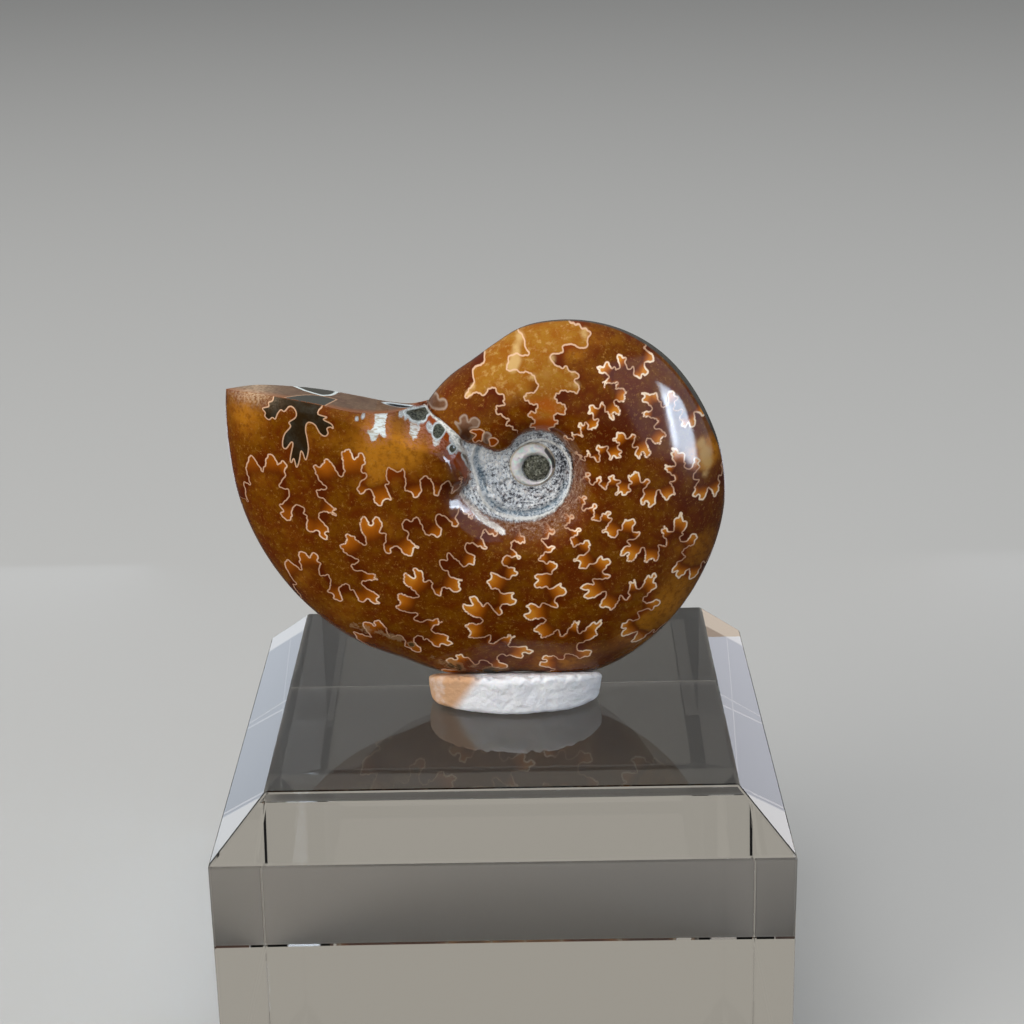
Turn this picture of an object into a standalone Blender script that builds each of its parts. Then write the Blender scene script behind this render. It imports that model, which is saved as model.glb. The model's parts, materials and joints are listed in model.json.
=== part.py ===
"""Half of an ammonite, cut and polished, held upright by putty on a clear display block.

Metres, +Z up. The origin is the middle of the block's underside. The domed flank faces -Y. The flat cut
face, which lies in the shell's own plane of symmetry, faces +Y.

The shell is described about its axis of coiling, which runs along Y through the umbilicus, the dimple in
the middle of the coil. A place on it is a growth angle in degrees, counted clockwise from straight up as
seen from the flank's side, and a radius from the axis.
"""

import math

import bmesh
import bpy
import numpy as np

# The block: a square of clear acrylic with a broad bevel round its top face.
BLOCK_SIDE = 0.0508
BLOCK_HEIGHT = 0.031
BLOCK_BEVEL = 0.0047

# Touching pieces keep this much room between them.
CONTACT_GAP = 0.0003

# The putty: an oval pad pressed down on the block, whose top rises to a lip in front of the shell and whose
# foot is a little smaller than its top.
PUTTY_LENGTH = 0.0167
PUTTY_DEPTH = 0.0088
PUTTY_LIP = 0.0041
PUTTY_SLOPE = 0.33
PUTTY_FOOT = 0.95
PUTTY_CENTRE_X = 0.0012
PUTTY_CENTRE_Y = -0.0017
PUTTY_ROUNDING = 0.0005
PUTTY_SIDES = 48

# The ammonite half: where its axis of coiling and its cut face stand, and its size against the tables.
AXIS_X = 0.0036
AXIS_Z = BLOCK_HEIGHT + 0.0238
CUT_FACE_Y = -0.0004
SHELL_SCALE = 0.987

# (growth angle, radius) along the venter, the outer rim of the last whorl, from the notch where the
# whorl comes out from under its own mouth to the tip of the mouth.
VENTER = (
    (-60, 0.0115),
    (-45, 0.0113),
    (-30, 0.0112),
    (-18, 0.0117),
    (-5, 0.01265),
    (10, 0.0134),
    (45, 0.01515),
    (75, 0.0164),
    (100, 0.0180),
    (125, 0.0195),
    (150, 0.02145),
    (166, 0.02245),
    (185, 0.0219),
    (203, 0.0236),
    (214, 0.0242),
    (222, 0.0252),
    (235, 0.0264),
    (248, 0.0274),
    (262, 0.0283),
    (273, 0.02888),
    (284, 0.0296),
)

# (growth angle, radius) along the umbilical shoulder, where the flank drops into the umbilicus.
SHOULDER = (
    (-60, 0.0057),
    (-30, 0.0045),
    (5, 0.0040),
    (90, 0.0042),
    (155, 0.0049),
    (200, 0.0052),
    (236, 0.0061),
    (256, 0.0068),
    (276, 0.0073),
    (287, 0.0086),
    (300, 0.0110),
)

# The mouth was ground off nearly level: (share of the way from its tip to the notch, height above the
# straight line between them), a little full towards the tip and hollow towards the notch.
MOUTH = (
    (0, 0),
    (0.13, 0.0005),
    (0.3, 0.00062),
    (0.5, 0.00042),
    (0.65, 0.00004),
    (0.8, -0.00035),
    (0.92, -0.0004),
    (1, 0),
)

# The flank's height above the cut face.
CREST_HEIGHT = 0.0068
CREST_RADIUS = 0.0271
CREST_GROWTH = 0.45
VENTER_SHARPNESS = 2.4
VENTER_ROUNDNESS = 0.62
SHOULDER_DROP = 0.3
SHOULDER_WIDTH = 0.14
UMBILICUS_FLOOR = 0.0027
UMBILICUS_RISE = 0.0005
RIM_THICKNESS = 0.0004

# How finely the shell is drawn: steps round the venter, steps along the mouth, and the rings between
# the umbilicus and the rim, as shares of the way to the shoulder and then of the way on to the rim.
VENTER_STEPS = 84
MOUTH_STEPS = 16
UMBILICUS_RINGS = (0.35, 0.7, 0.96)
FLANK_RINGS = (0.0, 0.05, 0.12, 0.25, 0.42, 0.6, 0.75, 0.87, 0.95, 1.0)


def clear_scene():
    """Remove every object, so that the model starts from nothing."""
    for scene_object in list(bpy.data.objects):
        bpy.data.objects.remove(scene_object, do_unlink=True)


def collection_named(name):
    """Make a collection and link it to the scene."""
    collection = bpy.data.collections.new(name)
    bpy.context.scene.collection.children.link(collection)
    return collection


def principled(name, colour, roughness, metallic=0.0, transmission=0.0):
    """Make a Principled material."""
    material = bpy.data.materials.new(name)
    material.use_nodes = True
    shader = material.node_tree.nodes["Principled BSDF"]
    shader.inputs["Base Color"].default_value = (*colour, 1.0)
    shader.inputs["Roughness"].default_value = roughness
    shader.inputs["Metallic"].default_value = metallic
    shader.inputs["Transmission Weight"].default_value = transmission
    return material


def add_object(name, build, collection, material=None):
    """Wrap a finished bmesh as a named object."""
    mesh = bpy.data.meshes.new(name)
    build.to_mesh(mesh)
    build.free()
    if material:
        mesh.materials.append(material)
    made = bpy.data.objects.new(name, mesh)
    collection.objects.link(made)
    return made


def smooth_curve(points, where):
    """Read the smooth curve through the (x, y) points at each x asked for."""
    knots, values = np.array(points, float).T
    slopes = np.gradient(values, knots)
    where = np.clip(where, knots[0], knots[-1])
    span = np.clip(np.searchsorted(knots, where) - 1, 0, len(knots) - 2)
    width = knots[span + 1] - knots[span]
    share = (where - knots[span]) / width
    rise = values[span + 1] - values[span]
    bend_in = slopes[span] * width - rise
    bend_out = rise - slopes[span + 1] * width
    bend = bend_in * (1 - share) + bend_out * share
    return values[span] + rise * share + share * (1 - share) * bend


def flank_height(growth, radius):
    """The height of one turn of the whorl above the cut face, and nothing inside its shoulder."""
    inner = smooth_curve(SHOULDER, growth)
    outer = smooth_curve(VENTER, growth)
    across = np.clip((radius - inner) / (outer - inner), 0, 1)
    crest = CREST_HEIGHT * (outer / CREST_RADIUS) ** CREST_GROWTH
    dome = (1 - across**VENTER_SHARPNESS) ** VENTER_ROUNDNESS
    climb = np.clip(across / SHOULDER_WIDTH, 0, 1)
    climb = climb * climb * (3 - 2 * climb)
    height = crest * dome * (1 - SHOULDER_DROP * (1 - climb))
    return np.where(radius < inner, 0, height)


def shell_height(growth, radius):
    """The polished surface's height above the cut face, at places on the last whorl or inside it."""
    floor = UMBILICUS_FLOOR + UMBILICUS_RISE * np.clip(radius / SHOULDER[2][1], 0, 1) ** 2
    turns = [flank_height(growth, radius)]
    if growth > 180:
        # Here the turn before this one looks out from under it.
        turns.append(flank_height(growth - 360, radius))
    return max(*turns, floor if radius < smooth_curve(SHOULDER, growth) else RIM_THICKNESS, RIM_THICKNESS)


def rim():
    """(growth angle, radius) of each point round the edge: along the venter, then back along the mouth."""
    first, last = VENTER[0][0], VENTER[-1][0]
    points = [(growth, float(smooth_curve(VENTER, growth))) for growth in np.linspace(first, last, VENTER_STEPS)]
    tip = in_plane(*points[-1])
    notch = in_plane(first + 360, points[0][1])
    for share in np.linspace(0, 1, MOUTH_STEPS + 1)[1:-1]:
        x, z = tip + (notch - tip) * share
        z += float(smooth_curve(MOUTH, share))
        points.append((math.degrees(math.atan2(x, z)) % 360, math.hypot(x, z)))
    return points


def in_plane(growth, radius):
    """The x and z, from the axis, of a growth angle and radius."""
    turn = math.radians(growth)
    return np.array((radius * math.sin(turn), radius * math.cos(turn)))


def shell_sections(swell):
    """The rings of points from the umbilicus out to the rim, each a list of places in the scene."""
    edge = rim()
    rings = [[] for _ in UMBILICUS_RINGS + FLANK_RINGS]
    for growth, outer in edge:
        inner = min(float(smooth_curve(SHOULDER, growth)), 0.95 * outer)
        radii = [inner * share for share in UMBILICUS_RINGS]
        radii += [inner + (outer - inner) * share for share in FLANK_RINGS]
        for ring, radius in zip(rings, radii):
            # Just inside the edge the dome still has its height, which keeps the mouth's face upright.
            height = SHELL_SCALE * shell_height(growth, min(radius, outer - 1e-5))
            x, z = in_plane(growth, SHELL_SCALE * radius + swell * radius / outer)
            ring.append((AXIS_X + x, CUT_FACE_Y - height - swell, AXIS_Z + z))
    return rings


def build_ammonite(name, collection, material=None, swell=0.0):
    """Loft the domed flank ring by ring, drop its edge to the cut face and close that face."""
    build = bmesh.new()
    loops = []
    for ring in shell_sections(swell):
        corners = [build.verts.new(place) for place in ring]
        loops.append([build.edges.new((corner, corners[i - 1])) for i, corner in enumerate(corners)])
    for inner, outer in zip(loops, loops[1:]):
        bmesh.ops.bridge_loops(build, edges=inner + outer)
    bmesh.ops.contextual_create(build, geom=loops[0])
    wall = bmesh.ops.extrude_edge_only(build, edges=loops[-1])
    for corner in wall["geom"]:
        if isinstance(corner, bmesh.types.BMVert):
            corner.co.y = CUT_FACE_Y + swell
    back = [edge for edge in build.edges if edge.is_boundary]
    bmesh.ops.contextual_create(build, geom=back)
    bmesh.ops.triangulate(build, faces=build.faces[:])
    bmesh.ops.recalc_face_normals(build, faces=build.faces[:])
    shell = add_object(name, build, collection, material)
    shell.data.shade_smooth()
    shell.data.set_sharp_from_angle(angle=math.radians(35))
    return shell


def build_block(collection):
    """A cube at its size, with the four edges of its top face cut back."""
    build = bmesh.new()
    bmesh.ops.create_cube(build, size=1.0)
    bmesh.ops.scale(build, vec=(BLOCK_SIDE, BLOCK_SIDE, BLOCK_HEIGHT), verts=build.verts[:])
    bmesh.ops.translate(build, vec=(0, 0, BLOCK_HEIGHT / 2), verts=build.verts[:])
    top = [edge for edge in build.edges if min(corner.co.z for corner in edge.verts) > BLOCK_HEIGHT / 2]
    bmesh.ops.bevel(build, geom=top, offset=BLOCK_BEVEL, offset_type="OFFSET", segments=1, affect="EDGES")
    clear = principled("clear_acrylic", (0.97, 0.98, 0.98), 0.03, transmission=1.0)
    return add_object("display_block", build, collection, clear)


def build_putty(collection, cutters):
    """An oval pad with rounded rims, moulded round the underside of the shell."""
    thickness = PUTTY_LIP - CONTACT_GAP
    build = bmesh.new()
    bmesh.ops.create_cone(
        build, cap_ends=True, segments=PUTTY_SIDES, radius1=0.5 * PUTTY_FOOT, radius2=0.5, depth=1.0
    )
    bmesh.ops.scale(build, vec=(PUTTY_LENGTH, PUTTY_DEPTH, thickness), verts=build.verts[:])
    for corner in build.verts:
        if corner.co.z > 0:
            corner.co.z -= PUTTY_SLOPE * (corner.co.y + PUTTY_DEPTH / 2)
    middle = (PUTTY_CENTRE_X, PUTTY_CENTRE_Y, BLOCK_HEIGHT + CONTACT_GAP + thickness / 2)
    bmesh.ops.translate(build, vec=middle, verts=build.verts[:])
    white = principled("white_putty", (0.86, 0.84, 0.80), 0.75)
    putty = add_object("putty_pad", build, collection, white)

    rounding = putty.modifiers.new("rounded_rims", "BEVEL")
    rounding.width = PUTTY_ROUNDING
    rounding.segments = 3
    rounding.limit_method = "ANGLE"
    rounding.angle_limit = math.radians(40)

    imprint = build_ammonite("shell_imprint", cutters, swell=CONTACT_GAP)
    imprint.hide_render = True
    imprint.display_type = "WIRE"
    pressing = putty.modifiers.new("pressed_by_shell", "BOOLEAN")
    pressing.operation = "DIFFERENCE"
    pressing.object = imprint
    return putty


def main():
    clear_scene()
    parts = collection_named("ammonite_fossil_half")
    cutters = collection_named("cutters")
    build_block(parts)
    build_putty(parts, cutters)
    amber_brown = principled("fossil_stone", (0.24, 0.10, 0.03), 0.15)
    build_ammonite("ammonite_half", parts, amber_brown)


main()
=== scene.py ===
"""The looks of half an ammonite held upright by putty on a clear display block.

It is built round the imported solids, in their frame: metres, +Z up, the domed flank facing -Y and the flat cut
face +Y. The shell is drawn in its own plane, in millimetres: u runs along X and w along Z from the axis of
coiling. A place there is also a growth angle, in degrees clockwise from straight up as seen from the flank's
side, and a radius. Heights are millimetres above the cut face, towards -Y.
"""

import json
import logging
import math
from dataclasses import dataclass, field
from enum import Enum
from typing import Sequence, Union

import bpy
import numpy as np
from mathutils import Matrix, Vector, geometry, kdtree

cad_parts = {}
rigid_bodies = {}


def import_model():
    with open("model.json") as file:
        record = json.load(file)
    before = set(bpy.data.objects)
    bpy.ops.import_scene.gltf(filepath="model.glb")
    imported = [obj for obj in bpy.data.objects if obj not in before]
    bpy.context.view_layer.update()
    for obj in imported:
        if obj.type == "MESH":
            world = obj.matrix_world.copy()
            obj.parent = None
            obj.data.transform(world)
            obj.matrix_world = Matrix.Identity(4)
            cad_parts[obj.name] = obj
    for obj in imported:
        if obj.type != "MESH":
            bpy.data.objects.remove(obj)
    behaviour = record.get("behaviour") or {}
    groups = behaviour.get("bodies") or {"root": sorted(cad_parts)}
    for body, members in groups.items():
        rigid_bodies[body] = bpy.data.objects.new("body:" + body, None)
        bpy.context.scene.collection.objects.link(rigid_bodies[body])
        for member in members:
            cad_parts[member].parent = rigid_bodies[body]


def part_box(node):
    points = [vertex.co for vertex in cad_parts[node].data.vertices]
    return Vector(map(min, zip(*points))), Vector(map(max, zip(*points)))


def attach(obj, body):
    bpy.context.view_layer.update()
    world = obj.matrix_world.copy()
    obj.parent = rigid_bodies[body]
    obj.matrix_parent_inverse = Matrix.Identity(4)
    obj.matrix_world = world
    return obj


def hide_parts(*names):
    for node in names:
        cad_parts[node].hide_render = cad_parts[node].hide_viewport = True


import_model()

LOG = logging.getLogger("ammonite_scene")
MM = 0.001
FAR = 6.0

Array = np.ndarray
Colour = tuple[float, float, float]
Pair = tuple[Colour, Colour]
Wire = bpy.types.NodeSocket
Socket = Union[Wire, float, Colour]


class Slot(Enum):
    """The record's material slots."""

    STONE = "fossil_stone"
    PUTTY = "white_putty"
    ACRYLIC = "clear_acrylic"


# ---- Lines and distances in the shell's plane ----


def smooth_curve(points: Sequence[tuple[float, float]], where: Array) -> Array:
    """Read the smooth curve through some points.

    Args:
        points: (x, y) pairs with x growing.
        where: the x values asked for.

    Returns:
        The y values there.
    """
    knots, values = np.array(points, float).T
    slopes = np.gradient(values, knots)
    where = np.clip(where, knots[0], knots[-1])
    span = np.clip(np.searchsorted(knots, where) - 1, 0, len(knots) - 2)
    width = knots[span + 1] - knots[span]
    share = (where - knots[span]) / width
    rise = values[span + 1] - values[span]
    bend_in = slopes[span] * width - rise
    bend_out = rise - slopes[span + 1] * width
    bend = bend_in * (1 - share) + bend_out * share
    return values[span] + rise * share + share * (1 - share) * bend


def rounded_line(points: Sequence[tuple[float, float]], steps: int, closed: bool = False) -> Array:
    """Draw a rounded line through some points.

    Args:
        points: the points it passes through.
        steps: how many pieces each stretch is cut into.
        closed: whether the line comes back to its start.

    Returns:
        The line's points, one row each.
    """
    corners = np.array(points, float)
    if closed:
        around = np.vstack([corners[-1:], corners, corners[:2]])
    else:
        around = np.vstack([2 * corners[0] - corners[1], corners, 2 * corners[-1] - corners[-2]])
    share = np.linspace(0, 1, steps, endpoint=False)[:, None]
    drawn = []
    for before, start, end, after in zip(around, around[1:], around[2:], around[3:]):
        drawn.append(
            0.5
            * (
                2 * start
                + (end - before) * share
                + (2 * before - 5 * start + 4 * end - after) * share**2
                + (3 * start - before - 3 * end + after) * share**3
            )
        )
    if not closed:
        drawn.append(corners[-1:])
    return np.vstack(drawn)


def resampled(line: Array, spacing: float, closed: bool = False) -> Array:
    """Walk along a line at an even pace.

    Args:
        line: the line's points.
        spacing: the length of a step.
        closed: whether the line comes back to its start.

    Returns:
        The points reached.
    """
    if closed:
        line = np.vstack([line, line[:1]])
    lengths = np.concatenate([[0], np.cumsum(np.hypot(*np.diff(line, axis=0).T))])
    count = max(int(round(lengths[-1] / spacing)), 2)
    walk = np.linspace(0, lengths[-1], count + 1)
    if closed:
        walk = walk[:-1]
    return np.stack([np.interp(walk, lengths, line[:, 0]), np.interp(walk, lengths, line[:, 1])], 1)


def beside(line: Array, offset: float) -> Array:
    """The points that lie beside a line, to its left where the offset is positive.

    Args:
        line: the line's points.
        offset: how far away, in millimetres.

    Returns:
        One point for each of the line's.
    """
    along = np.gradient(line, axis=0)
    along /= np.maximum(np.hypot(*along.T), 1e-9)[:, None]
    return line + offset * np.stack([-along[:, 1], along[:, 0]], 1)


def both_sides(lines: Sequence[Array], offset: float) -> Array:
    """The points that lie beside some lines, on both sides of each."""
    return np.vstack([beside(line, side * offset) for line in lines for side in (1, -1)])


def crinkled(line: Array, amount: float, seed: int) -> Array:
    """Give a line small natural crinkles to either side, and frills near the umbilicus.

    Args:
        line: its points, close together.
        amount: how far they go.
        seed: which crinkles.

    Returns:
        The crinkled line.
    """
    line = resampled(line, 0.06)
    along = np.stack([np.arange(len(line)) * 0.06, np.zeros(len(line))], 1)
    offset = amount * (grain(along, 0.3, seed) + 0.7 * grain(along, 0.17, seed + 40))
    frills = 0.085 * np.sin(along[:, 0] * 7.3 + seed) + 0.045 * np.sin(along[:, 0] * 14.9 + 2 * seed)
    offset += frills * ease((10.5 - np.hypot(*line.T)) / 3.5)
    step = np.gradient(line, axis=0)
    normal = np.stack([-step[:, 1], step[:, 0]], 1) / np.linalg.norm(step, axis=1)[:, None]
    return line + normal * offset[:, None]


def distance_to(line: Array, places: Array, closed: bool = False) -> Array:
    """How far places are from a line.

    Args:
        line: the line's points.
        places: the places, one row each.
        closed: whether the line comes back to its start. Its inside then counts as positive.

    Returns:
        The distances, up to FAR. Outside a closed line they are negative.
    """
    found = np.full(len(places), FAR)
    low, high = line.min(0) - FAR, line.max(0) + FAR
    near = np.flatnonzero(((places > low) & (places < high)).all(1))
    u, w = places[near].T
    nearest, inside = np.full(len(near), FAR), np.zeros(len(near), bool)
    ends = np.roll(line, -1, 0) if closed else line[1:]
    for (u0, w0), (u1, w1) in zip(line, ends):
        du, dw = u1 - u0, w1 - w0
        share = np.clip(((u - u0) * du + (w - w0) * dw) / max(du * du + dw * dw, 1e-12), 0, 1)
        np.minimum(nearest, np.hypot(u - u0 - share * du, w - w0 - share * dw), out=nearest)
        if closed and dw:
            inside ^= ((w0 > w) != (w1 > w)) & (u < u0 + (w - w0) * du / dw)
    if closed:
        found = -found
        nearest = np.where(inside, nearest, -nearest)
    found[near] = nearest
    return found


def within(loop: Array, places: Array) -> Array:
    """Whether places are inside a closed line.

    Args:
        loop: the line's corners.
        places: the places, one row each.

    Returns:
        True for each place inside.
    """
    u, w = places.T
    inside = np.zeros(len(places), bool)
    for (u0, w0), (u1, w1) in zip(loop, np.roll(loop, -1, 0)):
        if w0 != w1:
            level = np.flatnonzero((w0 > w) != (w1 > w))
            inside[level] ^= u[level] < u0 + (w[level] - w0) * (u1 - u0) / (w1 - w0)
    return inside


def ease(value: Array) -> Array:
    """A smooth step from 0 to 1."""
    value = np.clip(value, 0, 1)
    return value * value * (3 - 2 * value)


def grain(places: Array, size: float, seed: int) -> Array:
    """Smooth random unevenness.

    Args:
        places: the places, one row each.
        size: the width of a bump.
        seed: which of the random patterns.

    Returns:
        A value from -1 to 1 for each place.
    """
    cell = np.floor(places / size)
    share = ease(places / size - cell)
    total = np.zeros(len(places))
    for i in (0, 1):
        for j in (0, 1):
            corner = np.sin((cell[:, 0] + i) * 127.1 + (cell[:, 1] + j) * 311.7 + seed * 74.7) * 43758.5453
            weight = np.abs(1 - i - share[:, 0]) * np.abs(1 - j - share[:, 1])
            total += weight * (2 * (corner - np.floor(corner)) - 1)
    return total


def blobs(places: Array, patches: Sequence[tuple[float, float, float, float]]) -> Array:
    """Add up soft round patches.

    Args:
        places: the places, one row each.
        patches: (u, w, radius, strength) of each patch.

    Returns:
        The sum at each place.
    """
    total = np.zeros(len(places))
    for u, w, radius, strength in patches:
        total += strength * np.exp(-((places[:, 0] - u) ** 2 + (places[:, 1] - w) ** 2) / radius**2)
    return total


# ---- The shell's outline and its suture lines ----

# The venter and the umbilical shoulder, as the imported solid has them: (growth angle, radius).
VENTER = (
    (-60, 11.5), (-45, 11.3), (-30, 11.2), (-18, 11.7), (-5, 12.65), (10, 13.4), (45, 15.15), (75, 16.4),
    (100, 18.0), (125, 19.5), (150, 21.45), (166, 22.45), (185, 21.9), (203, 23.6), (214, 24.2),
    (222, 25.2), (235, 26.4), (248, 27.4), (262, 28.3), (273, 28.88), (284, 29.6),
)
SHOULDER = (
    (-60, 5.7), (-30, 4.5), (5, 4.0), (90, 4.2), (155, 4.9), (200, 5.2), (236, 6.1), (256, 6.8), (276, 7.3),
    (287, 8.6), (300, 11.0),
)
# (share of the way from the tip to the notch, rise above the straight line) of the ground mouth.
MOUTH = ((0, 0), (0.13, 0.5), (0.3, 0.62), (0.5, 0.42), (0.65, 0.04), (0.8, -0.35), (0.92, -0.4), (1, 0))

# (radius, growth angle) of the line along which the last whorl lies on the one before.
OVERLAP = (
    (0, 262), (5.4, 264), (5.8, 273), (6.2, 281), (6.8, 288.5), (7.6, 293.2), (8.5, 296), (9.5, 297.6),
    (10.6, 298.2), (11.4, 299), (12.5, 301),
)

# The margin of the weathered umbilicus: (u, w), from the tip of its tail clockwise round.
CRUST = (
    (-6.85, 2.9), (-6.2, 2.7), (-5.25, 2.45), (-4.5, 2.1), (-3.8, 1.8), (-3.05, 1.9), (-2.45, 2.25),
    (-2.05, 2.8), (-1.45, 3.3), (-0.35, 3.65), (0.75, 3.6), (1.8, 3.1), (2.65, 2.15), (3.2, 0.95),
    (3.35, -0.35), (3.15, -1.9), (2.6, -3.15), (1.7, -4.2), (0.5, -4.8), (-1, -5.05), (-2.45, -4.9),
    (-3.7, -4.5), (-4.65, -4), (-5.5, -3.35), (-6.25, -2.6), (-6.85, -1.9), (-6.95, -1.35), (-6.35, -0.95),
    (-6.1, -0.3), (-6.15, 0.35), (-6.25, 1.1), (-6.55, 2),
)

# The pale line from the notch down to the umbilicus, where the two whorls meet.
SEAM = (
    (-10.4, 5.35), (-9.75, 5), (-9.05, 4.7), (-8.5, 4.4), (-7.85, 3.9), (-7.4, 3.4), (-7.05, 2.85),
    (-6.55, 2), (-6.15, 1.35), (-5.85, 0.55), (-5.6, -0.2), (-5.4, -0.9),
)
# (w, half-width) of that line.
SEAM_WIDTHS = (
    (-1, 0.1), (0.5, 0.14), (1.3, 0.17), (2, 0.2), (2.6, 0.3), (3.2, 0.3), (3.9, 0.2), (4.4, 0.13),
    (4.8, 0.1), (5.1, 0.06), (5.35, 0.02),
)

# The white crack below the umbilicus.
CRACK = (
    (-6.9, -1.75), (-6.55, -2.35), (-6.1, -2.9), (-5.6, -3.6), (-5.25, -4.05), (-4.65, -4.55),
    (-3.9, -5.05), (-3.2, -5.55),
)

# One suture line, from the umbilicus out to the venter, lobe by lobe and saddle by saddle: the share of the
# way across the flank, and the reach towards the mouth in widths of the whorl.
SUTURE_SHAPE = (
    # the small folds on the umbilical shoulder
    (0, 0.02), (0.02, 0), (0.045, -0.04), (0.06, -0.045), (0.07, 0), (0.085, 0.025), (0.11, 0),
    (0.12, -0.04), (0.135, -0.035), (0.145, 0.01), (0.175, 0.05), (0.2, 0.025), (0.195, -0.015),
    (0.2, -0.037), (0.225, -0.048), (0.24, -0.025), (0.265, -0.012),
    # third lateral saddle
    (0.265, 0.04), (0.275, 0.085), (0.3, 0.07), (0.335, 0.09), (0.35, 0.058), (0.337, 0.025), (0.35, 0.005),
    # second lateral lobe
    (0.337, -0.025), (0.325, -0.058), (0.345, -0.055), (0.37, -0.086), (0.395, -0.07), (0.403, -0.033),
    (0.415, -0.012), (0.435, -0.015), (0.457, -0.03), (0.47, -0.012), (0.46, 0.016),
    # second lateral saddle
    (0.435, 0.058), (0.465, 0.078), (0.443, 0.115), (0.465, 0.156), (0.494, 0.127), (0.52, 0.173),
    (0.55, 0.152), (0.543, 0.107), (0.535, 0.066), (0.547, 0.05), (0.57, 0.074), (0.59, 0.107),
    (0.62, 0.13), (0.643, 0.095), (0.67, 0.095), (0.647, 0.04),
    # first lateral lobe, the deepest
    (0.61, 0), (0.62, -0.012), (0.653, -0.016), (0.643, -0.045), (0.612, -0.066), (0.59, -0.09),
    (0.564, -0.107), (0.578, -0.123), (0.57, -0.138), (0.605, -0.123), (0.64, -0.12), (0.643, -0.148),
    (0.62, -0.19), (0.61, -0.226), (0.628, -0.234), (0.624, -0.27), (0.65, -0.255), (0.663, -0.222),
    (0.69, -0.226), (0.705, -0.206), (0.7, -0.148), (0.713, -0.136), (0.705, -0.11), (0.73, -0.09),
    (0.76, -0.103), (0.775, -0.16), (0.795, -0.17), (0.818, -0.14), (0.81, -0.123), (0.822, -0.09),
    (0.795, -0.074), (0.78, -0.04), (0.783, -0.012),
    # first lateral saddle, with the edge of the lobe on the venter
    (0.822, 0), (0.814, 0.033), (0.795, 0.053), (0.802, 0.074), (0.795, 0.099), (0.818, 0.123),
    (0.84, 0.107), (0.853, 0.14), (0.884, 0.155), (0.895, 0.13), (0.903, 0.078), (0.91, 0.075),
    (0.934, 0.107), (0.965, 0.15), (0.988, 0.12), (0.985, 0.08), (0.967, 0.007), (0.996, 0.015),
    (0.985, -0.074),
)


@dataclass(frozen=True)
class Suture:
    """One suture line: where it crosses the flank and how it is stretched there."""

    growth: float
    lean: float
    size: float
    inner: float
    outer: float
    shear: float
    bow: float


SUTURES = (
    Suture(266.4, 0.1, 0.95, -0.022, 0.951, -0.25, 1.6),
    Suture(243.3, -1.1, 0.95, -0.016, 0.968, -0.30, 2.4),
    Suture(221.6, -2.2, 0.98, 0.002, 1.017, -0.39, 0.4),
    Suture(199.0, -1.5, 1.00, 0.010, 1.059, -0.43, -1.5),
    Suture(172.8, -1.0, 0.95, -0.011, 1.022, -0.00, 2.2),
    Suture(149.6, -3.5, 0.93, -0.031, 0.965, -0.27, 1.1),
    Suture(125.3, -3.5, 0.97, -0.032, 0.987, -0.27, 0.5),
    Suture(98.5, -4.1, 0.94, -0.028, 0.983, -0.26, 0.0),
    Suture(71.5, -4.0, 1.05, -0.063, 1.049, -0.22, 0.5),
    Suture(44.6, -2.5, 0.89, -0.037, 0.996, -0.30, 0.5),
)

# The sutures of the two chambers that are filled with pale calcite, from the umbilicus out: (u, w).
PALE_SUTURES = (
    (
        (1.1, 3.55), (1.45, 4.4), (2, 4.65), (1.9, 4.95), (1.55, 5.35), (1.7, 5.65), (2.3, 5.65),
        (2.75, 6.1), (2.5, 6.45), (1.9, 6.8), (1.75, 7.25), (2.15, 7.6), (2.95, 7.7), (3.4, 7.5),
        (3.9, 7.6), (4, 8.05), (3.6, 8.55), (3.9, 9), (3.6, 9.3), (3, 9.55), (2.75, 9.75), (2.3, 9.7),
        (1.85, 9.9), (1.5, 10.35), (1.3, 10.55), (1.7, 10.8), (2.4, 10.9), (2.55, 11.4), (3.3, 11.5),
        (4.25, 11.2), (4.75, 11.35), (4.8, 11.85), (5, 12.25), (4.8, 12.6), (4.4, 12.65), (4.15, 12.85),
        (3.7, 13), (3.3, 13.1), (2.9, 13.5),
    ),
    (
        (-0.2, 4.05), (-0.5, 4.6), (-0.05, 5), (-0.55, 5.35), (-0.45, 5.75), (0.15, 6.1), (0, 6.55),
        (-0.7, 6.7), (-1.1, 7.05), (-0.95, 7.45), (-0.15, 7.6), (0.15, 8.05), (0.2, 8.4), (-0.1, 8.9),
        (-0.45, 9.25), (-1.15, 9.25), (-1.95, 9.5), (-2.45, 9.3), (-2.65, 9.55), (-2.35, 10), (-2.4, 10.45),
        (-1.75, 10.7), (-1.05, 10.65), (-0.55, 10.85), (-0.85, 11.35), (-0.95, 11.9), (-1.35, 12.3),
        (-1.7, 12.5),
    ),
    (
        (-1.95, 3.95), (-2.2, 4.4), (-2.75, 4.6), (-2.55, 5.15), (-3.15, 5.45), (-3.65, 5.75), (-3.65, 6.2),
        (-3.15, 6.35), (-2.85, 6.9), (-3.05, 7.3), (-3.55, 7.6), (-3.8, 7.9), (-4.15, 7.8), (-4.6, 7.3),
        (-5.05, 7.2), (-5.45, 7.4), (-5.9, 7.1), (-6.4, 6.9), (-6.25, 7.3), (-5.9, 7.8), (-5.55, 8.15),
        (-5.75, 8.5), (-5.7, 8.9), (-5.2, 9.4), (-4.65, 9.85), (-4.7, 10.4),
    ),
)
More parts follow.
